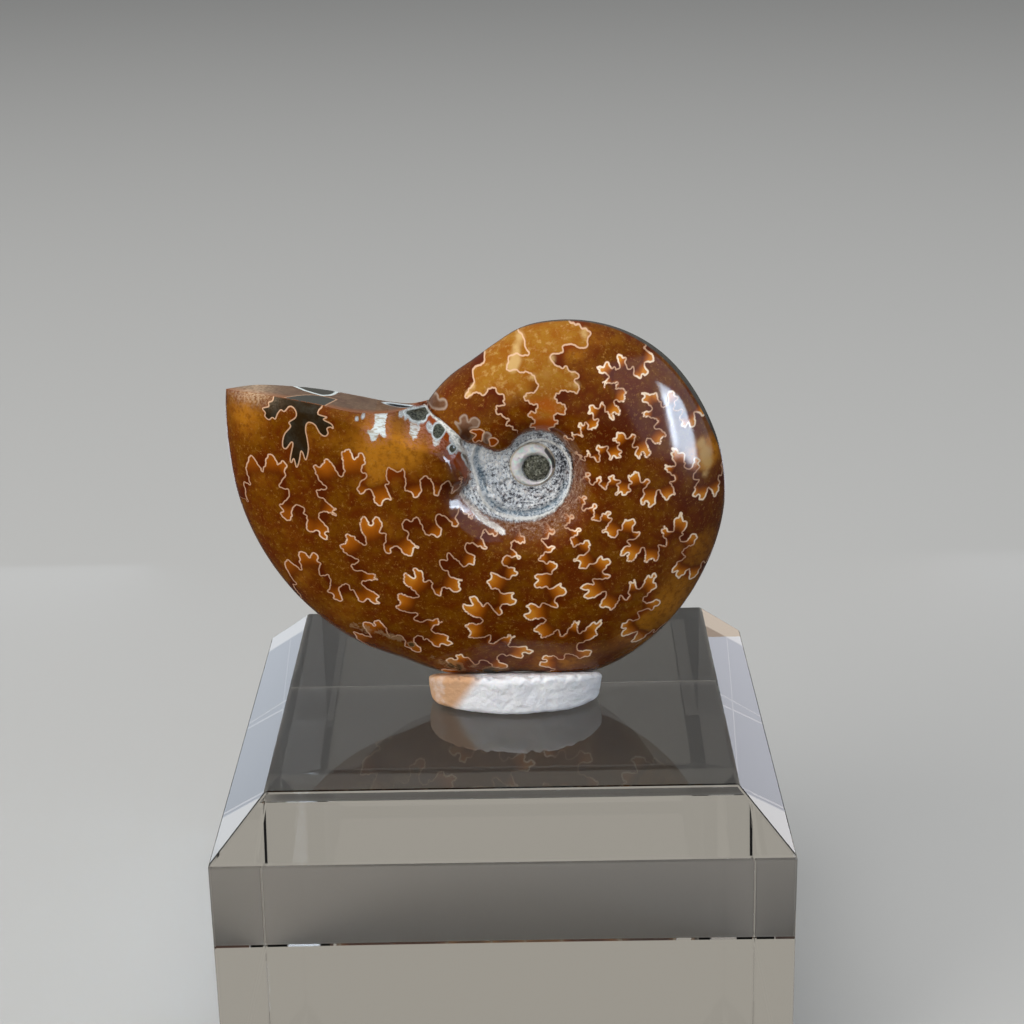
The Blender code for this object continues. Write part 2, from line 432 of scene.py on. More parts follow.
# The cream blotches in them: (u, w, radius, strength).
CREAMS = (
    (-2.1, 9.7, 0.55, 1.2), (-1.75, 10.4, 0.6, 1.1), (-1.3, 12.0, 0.5, 1.1), (-1.7, 11.2, 0.4, 0.9),
    (-6.15, 7.15, 0.35, 1.2), (-5.75, 7.8, 0.35, 0.9), (-0.3, 8.95, 0.4, 0.9), (4.55, 12.3, 0.5, 1.0),
    (1.6, 10.5, 0.45, 0.9), (3.7, 8.2, 0.5, 0.8), (3.4, 9.2, 0.4, 0.7), (-0.9, 7.25, 0.3, 0.8),
    (1.0, 9.2, 0.9, 0.45), (0.9, 7.6, 0.6, 0.35), (-3.2, 8.8, 0.8, 0.25), (15.6, 0.9, 0.65, 1.3),
    (15.9, -0.1, 0.65, 1.2), (15.2, 1.9, 0.5, 1.1), (15.6, -1.1, 0.4, 0.9),
)

# Where the stone glows at the ends of a suture's lobes and saddles: the share of the way across, the reach,
# the radius in widths of the whorl, and the strength on the sutures near the mouth and on those farther back.
EMBERS = (
    (0.055, -0.03, 0.03, 0.5, 0.5), (0.128, -0.03, 0.03, 0.6, 0.7), (0.175, 0.03, 0.025, 0.1, 0.5),
    (0.215, -0.035, 0.034, 0.8, 0.85), (0.305, 0.065, 0.045, 0.1, 0.9), (0.36, -0.06, 0.045, 1.0, 1.0),
    (0.45, -0.02, 0.025, 0.6, 0.6), (0.46, 0.13, 0.035, 0.8, 0.9), (0.51, 0.13, 0.052, 1.0, 1.05),
    (0.625, 0.1, 0.045, 0.9, 1.0), (0.64, -0.03, 0.025, 0.3, 0.5), (0.585, -0.12, 0.035, 0.7, 0.9),
    (0.64, -0.24, 0.055, 0.85, 1.05), (0.69, -0.2, 0.035, 0.6, 0.8), (0.787, -0.14, 0.042, 0.6, 0.9),
    (0.81, 0.1, 0.035, 0.6, 0.9), (0.87, 0.125, 0.045, 0.6, 1.05), (0.965, 0.115, 0.045, 0.5, 1.0),
)

# Lobes of worn-away sutures that show as dark, grey, amber and white leaves: (u, w).
DARK_LEAF = (
    (-23.6, 8.6), (-23.9, 7.25), (-24.35, 6.95), (-24.35, 6.6), (-24.95, 6.36), (-24.7, 5.98),
    (-24.77, 5.65), (-24.4, 5.36), (-24.05, 5.63), (-23.78, 5.5), (-23.53, 6.03), (-23.19, 6.43),
    (-22.86, 6.31), (-22.4, 6.78), (-21.97, 6.7), (-21.73, 6.25), (-21.86, 5.81), (-22.48, 5.32),
    (-22.34, 4.94), (-22.99, 4.1), (-23.22, 3.06), (-22.92, 2.75), (-22.38, 3.44), (-22.22, 3.28),
    (-22.38, 2.59), (-22.58, 1.66), (-22.46, 1.45), (-22.21, 1.87), (-22.01, 1.04), (-21.73, 1.64),
    (-21.51, 2.62), (-21.34, 2.52), (-21.09, 1.82), (-20.79, 2.86), (-20.84, 3.86), (-20.95, 4.74),
    (-20.8, 5.35), (-20.48, 5.49), (-20.01, 5.24), (-19.62, 4.51), (-19.16, 4.26), (-18.87, 4.55),
    (-18.95, 4.98), (-18.63, 5.16), (-18.37, 5.01), (-18.51, 5.43), (-19.24, 5.82), (-18.9, 6.06),
    (-19.69, 6.28), (-19.62, 6.66), (-19.3, 7.0), (-19.0, 8.6),
)
GREY_LEAVES = (
    (
        (-10.15, 5.7), (-9.95, 6.1), (-9.85, 6.35), (-9.6, 6.55), (-9.2, 6.65), (-8.95, 6.55), (-8.9, 6.35),
        (-8.55, 6.5), (-8.25, 6.45), (-8.1, 6.2), (-8.1, 5.95), (-8.3, 5.65), (-8.55, 5.55), (-8.9, 5.45),
        (-9.25, 5.4), (-9.65, 5.4), (-9.9, 5.5), (-10.15, 5.45),
    ),
    (
        (-7.5, 4.75), (-7.35, 4.85), (-7.15, 4.75), (-7, 4.8), (-7.05, 5.1), (-6.85, 5.35), (-6.55, 5.5),
        (-6.3, 5.4), (-6.2, 5.1), (-6.15, 4.9), (-6, 5.15), (-5.7, 5.3), (-5.4, 5.25), (-5.1, 4.95),
        (-5.15, 4.6), (-5.35, 4.3), (-5.75, 4.25), (-6, 4.15), (-6.1, 3.9), (-5.9, 3.7), (-5.7, 3.55),
        (-5.9, 3.25), (-6.1, 3), (-6.5, 2.95), (-6.85, 3.25), (-7.05, 3.6), (-7.1, 3.95), (-7, 3.9),
        (-7.15, 4.15), (-7.3, 4.4), (-7.45, 4.55),
    ),
    (
        (-4.95, 3.65), (-4.7, 3.95), (-4.4, 3.95), (-4.1, 3.7), (-4.1, 3.45), (-4.35, 3.2), (-4.35, 2.85),
        (-4.55, 2.65), (-4.9, 2.95),
    ),
)
AMBER_LEAVES = (
    (
        (-6.05, 3.95), (-5.8, 4.15), (-5.45, 4.15), (-5.15, 4.2), (-4.85, 4.05), (-4.75, 3.95),
        (-4.9, 3.65), (-4.95, 3.3), (-5.05, 2.95), (-5.3, 3.05), (-5.65, 2.75), (-5.85, 3.15), (-5.7, 3.35),
        (-5.5, 3.65), (-5.75, 3.8),
    ),
    (
        (-4.35, 3.2), (-4.1, 3.35), (-3.75, 3.3), (-3.5, 3), (-3.7, 2.7), (-3.95, 2.5), (-4.25, 2.5),
        (-4.3, 2.85),
    ),
)
WHITE_LEAVES = (
    (
        (-14.85, 6.5), (-14.2, 6.65), (-13.4, 6.6), (-13.25, 6.25), (-13.6, 5.6), (-13.7, 5.1),
        (-13.6, 4.6), (-13.7, 4.25), (-13.95, 4.4), (-14.15, 4.75), (-14.4, 4.3), (-14.65, 3.95),
        (-14.95, 4.05), (-15.05, 4.45), (-15.3, 4.85), (-14.9, 5.0), (-14.6, 5.4), (-14.65, 5.85),
        (-14.9, 6.1),
    ),
    (
        (-11.5, 4.75), (-11.25, 4.65), (-10.85, 4.45), (-10.6, 4.3), (-10.8, 4.1), (-10.9, 3.9),
        (-11.15, 3.85), (-11.35, 3.95), (-11.5, 4.25), (-11.5, 4.5),
    ),
    (
        (-9.4, 3.7), (-8.85, 3.55), (-8.75, 3.4), (-9, 3.3), (-9.15, 3.25), (-9.35, 3.45),
    ),
)
# Chalky white stone round the cells and beside the seam: (u, w, radius, strength).
CHALK = (
    (-7.45, 3.05, 0.32, 1.1), (-7.1, 2.75, 0.3, 1.0), (-7.8, 3.45, 0.22, 0.9), (-6.85, 2.4, 0.25, 0.8),
    (-9.9, 4.38, 0.24, 0.8), (-9.6, 4.2, 0.2, 1.0), (-12.35, 5.45, 0.25, 0.9), (-10.8, 4.5, 0.2, 0.7),
    (-8.05, 2.9, 0.17, 0.9), (-7.85, 2.5, 0.15, 0.8), (-7.35, 2.3, 0.14, 0.6), (-9.1, 3.6, 0.2, 0.7),
    (-16.2, 5.9, 0.2, 0.8), (-15.65, 5.97, 0.2, 0.8), (-13.2, 6.15, 0.22, 0.9), (-12.8, 6.0, 0.2, 0.8),
    (-12.5, 5.88, 0.2, 0.8), (-12.2, 5.65, 0.2, 0.9), (-11.9, 5.15, 0.2, 0.8), (-11.5, 4.9, 0.16, 0.7),
)

# On the ground mouth: the dark leaf where it comes up over the edge, and a sliver above it: (u, depth).
MOUTH_LEAVES = (
    (
        (-24.2, -9), (-24.0, -5.6), (-23.2, -4.2), (-22.5, -3.5), (-21.85, -2.95), (-21.15, -2.45),
        (-20.4, -2.15), (-19.65, -2.15), (-18.9, -2.3), (-18.25, -2.45), (-18.75, -3.85), (-19.4, -5.75),
        (-19.3, -9),
    ),
    (
        (-22.0, 1.5), (-22.4, 0.05), (-21.25, -1.1), (-20.45, -1.6), (-19.65, -1.95), (-18.95, -1.5),
        (-18.65, -0.9), (-18.45, -0.1), (-18.3, 1.5),
    ),
)
# Dark stains where the venter is damaged: (u, w, radius, strength).
STAINS = (
    (-7.7, -20.6, 0.5, 0.9), (-8.6, -20.2, 0.5, 0.8), (-9.5, -19.7, 0.4, 0.7), (-5.2, -21.0, 0.5, 0.8),
    (-4.6, -21.6, 0.5, 0.9), (-6.1, -21.6, 0.4, 0.7), (-10.2, -19.0, 0.35, 0.5), (-17.7, -15.5, 0.6, 0.5),
    (-16.5, -15.9, 0.7, 0.55), (-15.2, -16.1, 0.5, 0.6), (-14.2, -16.5, 0.5, 0.65),
    (-12.2, -17.5, 0.4, 1.1), (-13.3, -16.8, 0.5, 0.6), (-8.6, -19.4, 0.5, 0.5), (-7.8, -19.9, 0.4, 0.7),
    (-4.6, -20.6, 0.7, 0.6), (-3.4, -20.9, 0.6, 0.6), (-6.4, -20.2, 0.5, 0.5),
)
# Where the polish is dull, just above the putty: (u, w, radius, strength).
DULL = (
    (-5.6, -19.0, 2.2, 0.45), (-2.0, -19.2, 2.6, 0.45), (2.0, -19.2, 2.6, 0.45), (5.6, -18.8, 2.4, 0.42),
    (8.8, -17.6, 1.8, 0.4),
)
# Where the grey leaves are darkest: (u, w, radius, strength).
LEAF_SHADES = ((-6.6, 3.3, 0.9, 1.2), (-6.2, 4.0, 0.5, 0.6), (-4.5, 2.8, 0.5, 0.8), (-9.6, 5.7, 0.7, 0.5))
# Where the umbilical crust is lightest (positive) and darkest (negative): (u, w, radius, strength).
CRUST_LIGHT = (
    (-5.6, 2.2, 1.3, 1.0), (-4.0, 1.0, 1.5, 0.9), (-3.0, -0.6, 1.2, 0.6), (-4.6, -1.8, 1.2, 0.4),
    (2.5, 0.2, 1.0, -1.1), (2.4, 1.6, 0.9, -0.9), (1.6, 2.8, 0.9, -0.6), (2.2, -1.4, 1.0, -0.7),
    (0.2, -3.9, 1.4, -0.3), (-1.6, 2.6, 0.8, 0.4), (0.4, 3.1, 0.8, -0.3),
)

# The dark cells along the seam, each in its bluish white rim.
CELLS = (
    (
        (-12.1, 5.4), (-11.9, 5.4), (-11.4, 5.35), (-10.75, 5.2), (-10.25, 5.15), (-9.95, 5.15),
        (-9.75, 5.05), (-9.9, 4.95), (-10.1, 4.85), (-10.15, 4.7), (-10.4, 4.6), (-10.8, 4.6),
        (-11.2, 4.75), (-11.45, 4.9), (-11.7, 5.15),
    ),
    (
        (-9.4, 4.25), (-9.25, 4.4), (-9, 4.45), (-8.7, 4.4), (-8.45, 4.25), (-8.35, 4.05), (-8.5, 3.85),
        (-8.75, 3.7), (-9, 3.65), (-9.25, 3.75), (-9.45, 3.95),
    ),
    (
        (-7.95, 2.85), (-7.8, 3), (-7.55, 2.9), (-7.35, 2.65), (-7.4, 2.5), (-7.7, 2.45), (-7.9, 2.65),
    ),
    (
        (-6.8, 1.95), (-6.65, 1.95), (-6.4, 1.6), (-6.25, 1.15), (-6.05, 0.65), (-5.85, 0.2), (-6, 0.2),
        (-6.3, 0.7), (-6.55, 1.3), (-6.75, 1.7),
    ),
)
# The amber fillings between them, and the red-brown lobe at their lower end.
CELL_FILLINGS = (
    (
        (-10.1, 4.85), (-9.6, 4.95), (-9.2, 4.85), (-8.9, 4.6), (-9.45, 4.45), (-9.95, 4.45), (-10.35, 4.5),
        (-10.2, 4.65),
    ),
    (
        (-8.45, 3.95), (-8.25, 3.95), (-7.9, 3.75), (-7.85, 3.45), (-8, 3.25), (-8.35, 3.45), (-8.5, 3.65),
    ),
    (
        (-8, 2.35), (-7.6, 2.35), (-7.15, 2.15), (-6.8, 1.7), (-6.5, 1.1), (-6.25, 0.4), (-6.25, 0),
        (-6.5, -0.25), (-6.65, -0.6), (-6.8, 0.2), (-7.2, 0.9), (-7.7, 1.55), (-8.15, 2.05),
    ),
)

# The innermost whorl in the umbilicus: the nacre's outline and the hollow inside it, as centre and radius.
NACRE = ((-0.4, 0.15), 2.05)
CORE = ((-0.05, -0.15), 1.3)
# (growth angle, radius) of the ridge that winds out from the nacre.
RIDGE = (
    (-20, 2.5), (8, 2.6), (30, 2.7), (47, 2.8), (66, 2.9), (87, 3.1), (107, 3.3), (127, 3.7), (140, 4.0),
    (153, 4.3), (169, 4.6), (184, 4.8), (201, 5.05), (215, 5.3), (225, 5.5), (240, 5.6), (264, 5.65),
    (280, 6.1),
)

# The dark slit in the nacre: (u, w).
SLIT = ((0.85, 1.6), (1.15, 1.15), (1.45, 0.6), (1.55, -0.05))

# By growth angle: how far the painted shade along the venter's rim reaches in, and how wide the dust round the
# crust is.
RIM_SHADE_WIDTHS = ((-60, 0), (-8, 0), (4, 0.03), (30, 0.07), (48, 0.2), (78, 0.24), (92, 0.02), (110, 0))
DUST_WIDTHS = ((-69, 0.4), (20, 0.5), (60, 1.2), (110, 1.9), (190, 1.6), (240, 1.0), (292, 0.3))

# Soft patches of warmer stone (positive) and of darker, redder stone (negative): (u, w, radius, strength).
TONES = (
    (-14.0, 2.6, 3.6, 0.9), (-11.0, 2.6, 2.6, 0.5), (-26.6, 5.0, 2.4, 0.9), (-25.6, -0.5, 1.8, 0.5),
    (-20.0, 4.0, 2.0, 0.5), (-18.5, -14.5, 2.0, 0.6), (-22.5, -10.0, 1.6, 0.5), (-22.0, -6.0, 3.5, 0.25),
    (-14.5, -6.5, 3.0, 0.3), (12.5, -13.5, 3.5, 0.9), (15.5, -8.0, 2.2, 0.5), (2.0, -19.5, 3.5, 0.5),
    (9.5, -18.0, 2.5, 0.6), (15.4, 0.8, 1.5, 2.2), (3.5, 12.0, 3.0, 0.6), (10.5, 9.0, 3.0, 0.2),
    (-7.0, 9.0, 3.5, -0.5), (-4.0, 5.5, 2.0, -0.3), (6.5, 3.0, 3.0, -0.8), (9.0, 6.0, 2.5, -0.5),
    (14.0, -3.0, 2.5, -0.5), (-20.0, -1.0, 2.5, -0.35), (-9.0, -9.0, 3.0, -0.3),
)


# The soft patches and the closed shapes on the front, by the names that the finishes read.
PATCHES = {
    "tone": TONES,
    "cream": CREAMS,
    "chalk": CHALK,
    "stain": STAINS,
    "leaf_shade": LEAF_SHADES,
    "dull": DULL,
    "crust_light": CRUST_LIGHT,
}
LEAVES = {
    "dark_leaf": (DARK_LEAF,),
    "amber_leaf": AMBER_LEAVES,
    "grey_leaf": GREY_LEAVES,
    "white_leaf": WHITE_LEAVES,
    "cell": CELLS,
    "cell_filling": CELL_FILLINGS,
}


def in_plane(growth: Array, radius: Array) -> Array:
    """The (u, w) of growth angles and radii, one row each."""
    turn = np.radians(growth)
    return np.stack([radius * np.sin(turn), radius * np.cos(turn)], -1)


def from_ridge(places: Array) -> Array:
    """How far outside the ridge in the umbilicus places are, in millimetres."""
    growth = np.degrees(np.arctan2(places[:, 0], places[:, 1])) % 360
    return np.hypot(*places.T) - smooth_curve(RIDGE, np.where(growth > 300, growth - 360, growth))


def laid_across(suture: Suture, share: Array, reach: Array) -> tuple[Array, float]:
    """Find places on the flank by where they are on a suture's shape.

    Args:
        suture: which one.
        share: the share of the way across the flank.
        reach: the reach towards the mouth, in widths of the whorl.

    Returns:
        The (u, w) places, and the width of the whorl there.
    """
    reach = reach * suture.size
    across = suture.inner + (suture.outer - suture.inner) * share + suture.shear * reach
    inner = smooth_curve(SHOULDER, suture.growth)
    width = smooth_curve(VENTER, suture.growth + 0.75 * suture.lean) - inner
    radius = np.maximum(inner + width * across, 3)
    growth = suture.growth + suture.lean * (1 - inner / radius) + suture.bow * 4 * share * (1 - share)
    growth = growth + np.degrees(reach * width / radius)
    inner, outer = smooth_curve(SHOULDER, growth), smooth_curve(VENTER, growth)
    return in_plane(growth, inner + (outer - inner) * np.clip(across, 0, 1)), float(width)


def suture_path(suture: Suture) -> Array:
    """Lay the suture shape across the flank, from the umbilicus out."""
    share, reach = rounded_line(SUTURE_SHAPE, 6).T
    return laid_across(suture, share, reach)[0]


def mouth_line() -> Array:
    """The edge of the mouth in the shell's plane, from its tip back to the notch.

    Returns:
        The edge's points.
    """
    tip = in_plane(VENTER[-1][0], VENTER[-1][1])
    notch = in_plane(VENTER[0][0], VENTER[0][1])
    share = np.linspace(0, 1, 61)[:, None]
    line = tip + (notch - tip) * share
    line[:, 1:] += smooth_curve(MOUTH, share)
    return line


def outline() -> Array:
    """The shell's whole outline: along the venter from the notch to the tip, then back along the mouth.

    Returns:
        The outline's points.
    """
    growth = np.linspace(VENTER[0][0], VENTER[-1][0], 700)
    venter = resampled(in_plane(growth, smooth_curve(VENTER, growth)), 0.22)
    return np.vstack([venter[:-1], resampled(mouth_line(), 0.14)[:-1]])


# ---- The shell's relief ----


@dataclass
class Relief:
    """How high the polished flank, the umbilicus and the seam stand above the cut face."""

    crest: float = 6.8
    crest_growth: float = 0.45
    crest_radius: float = 27.1
    venter_sharpness: float = 2.4
    venter_roundness: float = 0.62
    # (growth angle, height) of the umbilical margin.
    margin_heights: tuple = (
        (-69, 3.9), (190, 3.9), (215, 4.5), (240, 5.1), (260, 4.9), (274, 4.1), (292, 3.9),
    )
    floor_height: float = 2.8
    shoulder_power: float = 2.6
    seam_depth: float = 0.2
    seam_power: float = 2.2
    # (u, depth) of the rounding between the flank and the ground mouth: deepest near the notch.
    mouth_roundings: tuple = (
        (-29, 0.5), (-20, 0.7), (-17, 1.0), (-15, 1.9), (-12.5, 2.3), (-11, 1.6), (-9.8, 0.5),
    )
    # (w, width) of the slope from the seam up to the flank: long at the notch, short in the umbilicus.
    seam_widths: tuple = ((-3, 1.8), (1, 2.0), (3.5, 2.6), (5.5, 5.0), (7, 7.5))
    # (growth angle, width) of the slope from the umbilical margin up to the flank.
    shoulder_widths: tuple = (
        (-69, 2.2), (0, 2.4), (60, 2.8), (120, 3.2), (190, 3.4), (235, 4.2), (262, 3.0), (292, 2.2),
    )
    crust: Array = field(init=False)
    seam: Array = field(init=False)
    mouth: Array = field(init=False)
    crack: Array = field(init=False)
    cells: list = field(init=False)

    def __post_init__(self) -> None:
        """Round the lines that the relief follows."""
        self.crust = rounded_line(CRUST, 4, closed=True)
        self.seam = rounded_line(SEAM[:8], 4)
        self.mouth = mouth_line()
        self.crack = rounded_line(CRACK, 4)
        self.cells = [rounded_line(cell, 4, closed=True) for cell in CELLS]

    @staticmethod
    def growth_of(places: Array) -> tuple[Array, Array]:
        """Find which turn places are on.

        Args:
            places: the (u, w) places.

        Returns:
            Their growth angles and radii. On the turn before the last the angles are negative.
        """
        radius = np.hypot(*places.T)
        angle = np.degrees(np.arctan2(places[:, 0], places[:, 1])) % 360
        return np.where(angle > smooth_curve(OVERLAP, radius), angle - 360, angle), radius

    def dome(self, growth: Array, radius: Array) -> Array:
        """The height of the polished flank of one turn, as if it ran on under the umbilicus.

        Args:
            growth: growth angles on that turn.
            radius: radii.

        Returns:
            The heights there.
        """
        inner, outer = smooth_curve(SHOULDER, growth), smooth_curve(VENTER, growth)
        across = np.clip((radius - inner) / (outer - inner), 0, 1)
        crest = self.crest * (outer / self.crest_radius) ** self.crest_growth
        return crest * (1 - across**self.venter_sharpness) ** self.venter_roundness

    def umbilicus(self, places: Array, inside: Array) -> Array:
        """The height of the weathered whorls in the umbilicus.

        Args:
            places: the (u, w) places.
            inside: how far each is inside the margin.

        Returns:
            The heights there.
        """
        radius, ridge = np.hypot(*places.T), from_ridge(places)
        margin = smooth_curve(self.margin_heights, self.growth_of(places)[0])
        height = margin - 0.5 * ease(inside / 0.5)
        height += (self.floor_height - margin + 0.5) * ease((5.6 - radius) / 4.2)
        height += 0.2 * np.exp(-((ridge / 0.14) ** 2)) * ease(inside / 0.3)
        height -= 0.16 * np.exp(-(((ridge + 0.42) / 0.3) ** 2))
        (nu, nw), nacre_radius = NACRE
        (cu, cw), core_radius = CORE
        from_rim = nacre_radius - np.hypot(places[:, 0] - nu, places[:, 1] - nw)
        from_core = np.hypot(places[:, 0] - cu, places[:, 1] - cw) - core_radius
        ring = np.minimum(from_rim, from_core)
        height += 0.5 * np.sqrt(np.clip(ring / 0.4, 0, 1)) - 0.15 * np.exp(-((from_rim / 0.12) ** 2))
        height += np.where(from_core < 0, 0.3 * ease(-from_core / 0.7), 0)
        rough = 0.08 * grain(places, 0.3, 1) + 0.05 * grain(places, 0.15, 2)
        return height + rough * np.where(ring > 0, 0.2, 1) * ease(inside / 0.5)

    def height(self, places: Array) -> Array:
        """The height of the shell's front above the cut face.

        Args:
            places: the (u, w) places.

        Returns:
            The heights there.
        """
        growth, radius = self.growth_of(places)
        full = self.dome(growth, radius)
        inside = distance_to(self.crust, places, closed=True)
        climb = np.clip(-inside / smooth_curve(self.shoulder_widths, growth), 0, 1)
        margin = smooth_curve(self.margin_heights, growth)
        flank = margin + (full - margin) * (1 - (1 - climb) ** self.shoulder_power)

        from_seam = distance_to(self.seam, places)
        under = self.dome(growth - 360, radius) - self.seam_depth
        climb = np.clip(from_seam / smooth_curve(self.seam_widths, places[:, 1]), 0, 1)
        over = under + (full - under) * (1 - (1 - climb) ** self.seam_power)
        last = growth > 180
        flank = np.where(last, np.minimum(flank, over), flank - 0.2 * np.exp(-((from_seam / 0.22) ** 2)))

        height = np.where(inside > 0, self.umbilicus(places, inside), flank)
        height -= 0.13 * np.exp(-((distance_to(self.crack, places) / 0.09) ** 2))
        for cell in self.cells:
            height -= 0.2 * ease(distance_to(cell, places, closed=True) / 0.22)
        depth = smooth_curve(self.mouth_roundings, places[:, 0])
        short = np.clip(1 - distance_to(self.mouth, places) / (0.3 + 0.5 * depth), 0, 1)
        return height - depth * (1 - np.sqrt(1 - short**2))

    def normals(self, places: Array) -> Array:
        """The directions that the front faces at places, as unit vectors in the scene.

        Args:
            places: places in the shell's plane.

        Returns:
            One vector for each place.
        """
        step = 0.02
        slopes = [
            (self.height(places + shift) - self.height(places - shift)) / (2 * step)
            for shift in (np.array((step, 0)), np.array((0, step)))
        ]
        facing = np.stack([-slopes[0], np.full(len(places), -1.0), -slopes[1]], 1)
        return facing / np.linalg.norm(facing, axis=1)[:, None]


# ---- Laying out materials ----


def srgb(red: float, green: float, blue: float) -> Colour:
    """A colour given as on a screen, 0 to 255, as the linear numbers that a shader takes."""
    shares = [channel / 255 for channel in (red, green, blue)]
    return tuple(s / 12.92 if s <= 0.04045 else ((s + 0.055) / 1.055) ** 2.4 for s in shares)


class Board:
    """Lays out one material's nodes. Places are read in millimetres."""

    def __init__(self, name: str, clouds: tuple = (), fine: tuple = ()) -> None:
        """Start a material.

        Args:
            name: its name.
            clouds: the size, detail and roughness of its broad noise, where it has one.
            fine: the same of its fine noise.
        """
        self.material = bpy.data.materials.new(name)
        self.material.use_nodes = True
        self.tree = self.material.node_tree
        self.shader = self.tree.nodes["Principled BSDF"]
        metres = self.made("ShaderNodeTexCoord", {}, "Object")
        self.place = self.vector("MULTIPLY", metres, (1000, 1000, 1000))
        if clouds:
            self.clouds, self.fine = self.noise(*clouds), self.noise(*fine)

    def feed(self, socket: Wire, source: Socket) -> None:
        """Link a source to a socket, or write it there where it is a plain number or colour.

        Args:
            socket: the socket to set.
            source: the socket, number or colour to set it from.
        """
        if isinstance(source, Wire):
            self.tree.links.new(source, socket)
        elif isinstance(source, tuple) and len(socket.default_value) == 4:
            socket.default_value = (*source, 1.0)
        else:
            socket.default_value = source

    def made(self, kind: str, sources: dict, output: Union[int, str] = 0, **settings: object) -> Wire:
        """Add a node.

        Args:
            kind: the kind of node.
            sources: what its sockets are fed with, by their names or numbers.
            output: which of its outputs is wanted.
            settings: its other properties.

        Returns:
            That output.
        """
        added = self.tree.nodes.new(kind)
        for name, value in settings.items():
            setattr(added, name, value)
        for name, source in sources.items():
            self.feed(added.inputs[name], source)
        return added.outputs[output]

    def read(self, name: str) -> Wire:
        """Read one of the mesh's number attributes."""
        return self.made("ShaderNodeAttribute", {}, "Fac", attribute_name=name)

    def math(self, operation: str, *sources: Socket, clamp: bool = False) -> Wire:
        """Work out a sum of numbers."""
        return self.made("ShaderNodeMath", dict(enumerate(sources)), operation=operation, use_clamp=clamp)

    def vector(self, operation: str, *sources: Socket) -> Wire:
        """Work out a sum of vectors."""
        return self.made("ShaderNodeVectorMath", dict(enumerate(sources)), operation=operation)

    def plus(self, first: Socket, second: Socket) -> Wire:
        """Add two numbers."""
        return self.math("ADD", first, second)

    def times(self, first: Socket, second: Socket) -> Wire:
        """Multiply two numbers."""
        return self.math("MULTIPLY", first, second)

    def away(self, distance: Socket) -> Wire:
        """A signed distance without its sign."""
        return self.math("ABSOLUTE", distance)

    def ragged(self, value: Socket, noise: Socket, amount: float) -> Wire:
        """A number made uneven by a noise around 0.5, by half the amount either way."""
        return self.plus(value, self.math("MULTIPLY_ADD", noise, amount, -amount / 2))

    def step(self, value: Socket, low: float, high: float, to: tuple[float, float] = (0, 1)) -> Wire:
        """A smooth step as the value goes from low to high.

        Args:
            value: the number that drives it.
            low: where the step starts. It may be above high.
            high: where it ends.
            to: the results at low and at high.

        Returns:
            The step's output.
        """
        ends = (low, high, *to) if low < high else (high, low, *to[::-1])
        names = ("Value", "From Min", "From Max", "To Min", "To Max")
        sources = dict(zip(names, (value, *ends)))
        return self.made("ShaderNodeMapRange", sources, "Result", interpolation_type="SMOOTHSTEP")

    def mix(self, share: Socket, first: Socket, second: Socket) -> Wire:
        """Mix two colours."""
        return self.made("ShaderNodeMix", {0: share, 6: first, 7: second}, 2, data_type="RGBA")

    def blend(self, share: Socket, first: Socket, second: Socket) -> Wire:
        """Mix two numbers."""
        return self.made("ShaderNodeMix", {0: share, 2: first, 3: second}, data_type="FLOAT")

    def over(
        self, colour: Socket, paint: Socket, value: Socket, low: float, high: float, strength: float = 1.0
    ) -> Wire:
        """Lay a paint over a colour, from none where a value is at low to its full strength at high."""
        return self.mix(self.step(value, low, high, (0.0, strength)), colour, paint)

    def ramp(self, value: Socket, stops: Sequence[tuple[float, Colour]]) -> Wire:
        """A colour that changes with a value, through (value, colour) stops.

        Args:
            value: the value, from 0 to 1.
            stops: values and their colours, rising.

        Returns:
            The colour.
        """
        added = self.tree.nodes.new("ShaderNodeValToRGB")
        elements = added.color_ramp.elements
        while len(elements) < len(stops):
            elements.new(0.5)
        for element, (position, colour) in zip(elements, stops):
            element.position = position
            element.color = (*colour, 1.0)
        self.feed(added.inputs[0], value)
        return added.outputs[0]

    def noise_at(self, place: Socket, detail: float, roughness: float) -> Wire:
        """Cloudy noise around 0.5 at a place."""
        sources = {"Vector": place, "Scale": 1.0, "Detail": detail, "Roughness": roughness}
        return self.made("ShaderNodeTexNoise", sources, "Fac")

    def streaks(self, along: Socket, across: Socket, sizes: tuple[float, float]) -> Wire:
        """Noise drawn out into streaks that follow a pair of numbers given in millimetres."""
        shares = [self.math("DIVIDE", source, size) for source, size in zip((along, across), sizes)]
        return self.noise_at(self.made("ShaderNodeCombineXYZ", dict(enumerate(shares))), 3.0, 0.6)

    def noise(
        self,
        size: float,
        detail: float = 2.0,
        roughness: float = 0.5,
        stretch: tuple[float, float, float] = (1, 1, 1),
        shift: float = 0.0,
    ) -> Wire:
        """Cloudy noise around 0.5.

        Args:
            size: how wide its clouds are, in millimetres.
            detail: how many finer layers it has.
            roughness: how strong those are.
            stretch: by how much it is drawn out along each axis.
            shift: how far along the pattern it is read.

        Returns:
            The noise's value.
        """
        at = self.vector("MULTIPLY", self.place, tuple(1 / (size * s) for s in stretch))
        if shift:
            at = self.vector("ADD", at, (shift, shift, shift))
        return self.noise_at(at, detail, roughness)

    def bump(self, height: Socket, depth: float, strength: float = 1.0) -> Wire:
        """A normal from a height whose full range is depth millimetres."""
        sources = {"Height": height, "Distance": depth * MM, "Strength": strength}
        return self.made("ShaderNodeBump", sources, "Normal")

    def wear(self, **sources: Socket) -> bpy.types.Material:
        """Feed the Principled shader's sockets, named with _ for a space, and give back the material.

        Args:
            sources: what goes into each socket.

        Returns:
            The material.
        """
        for name, source in sources.items():
            self.feed(self.shader.inputs[name.replace("_", " ")], source)
        return self.material


# ---- The finishes ----


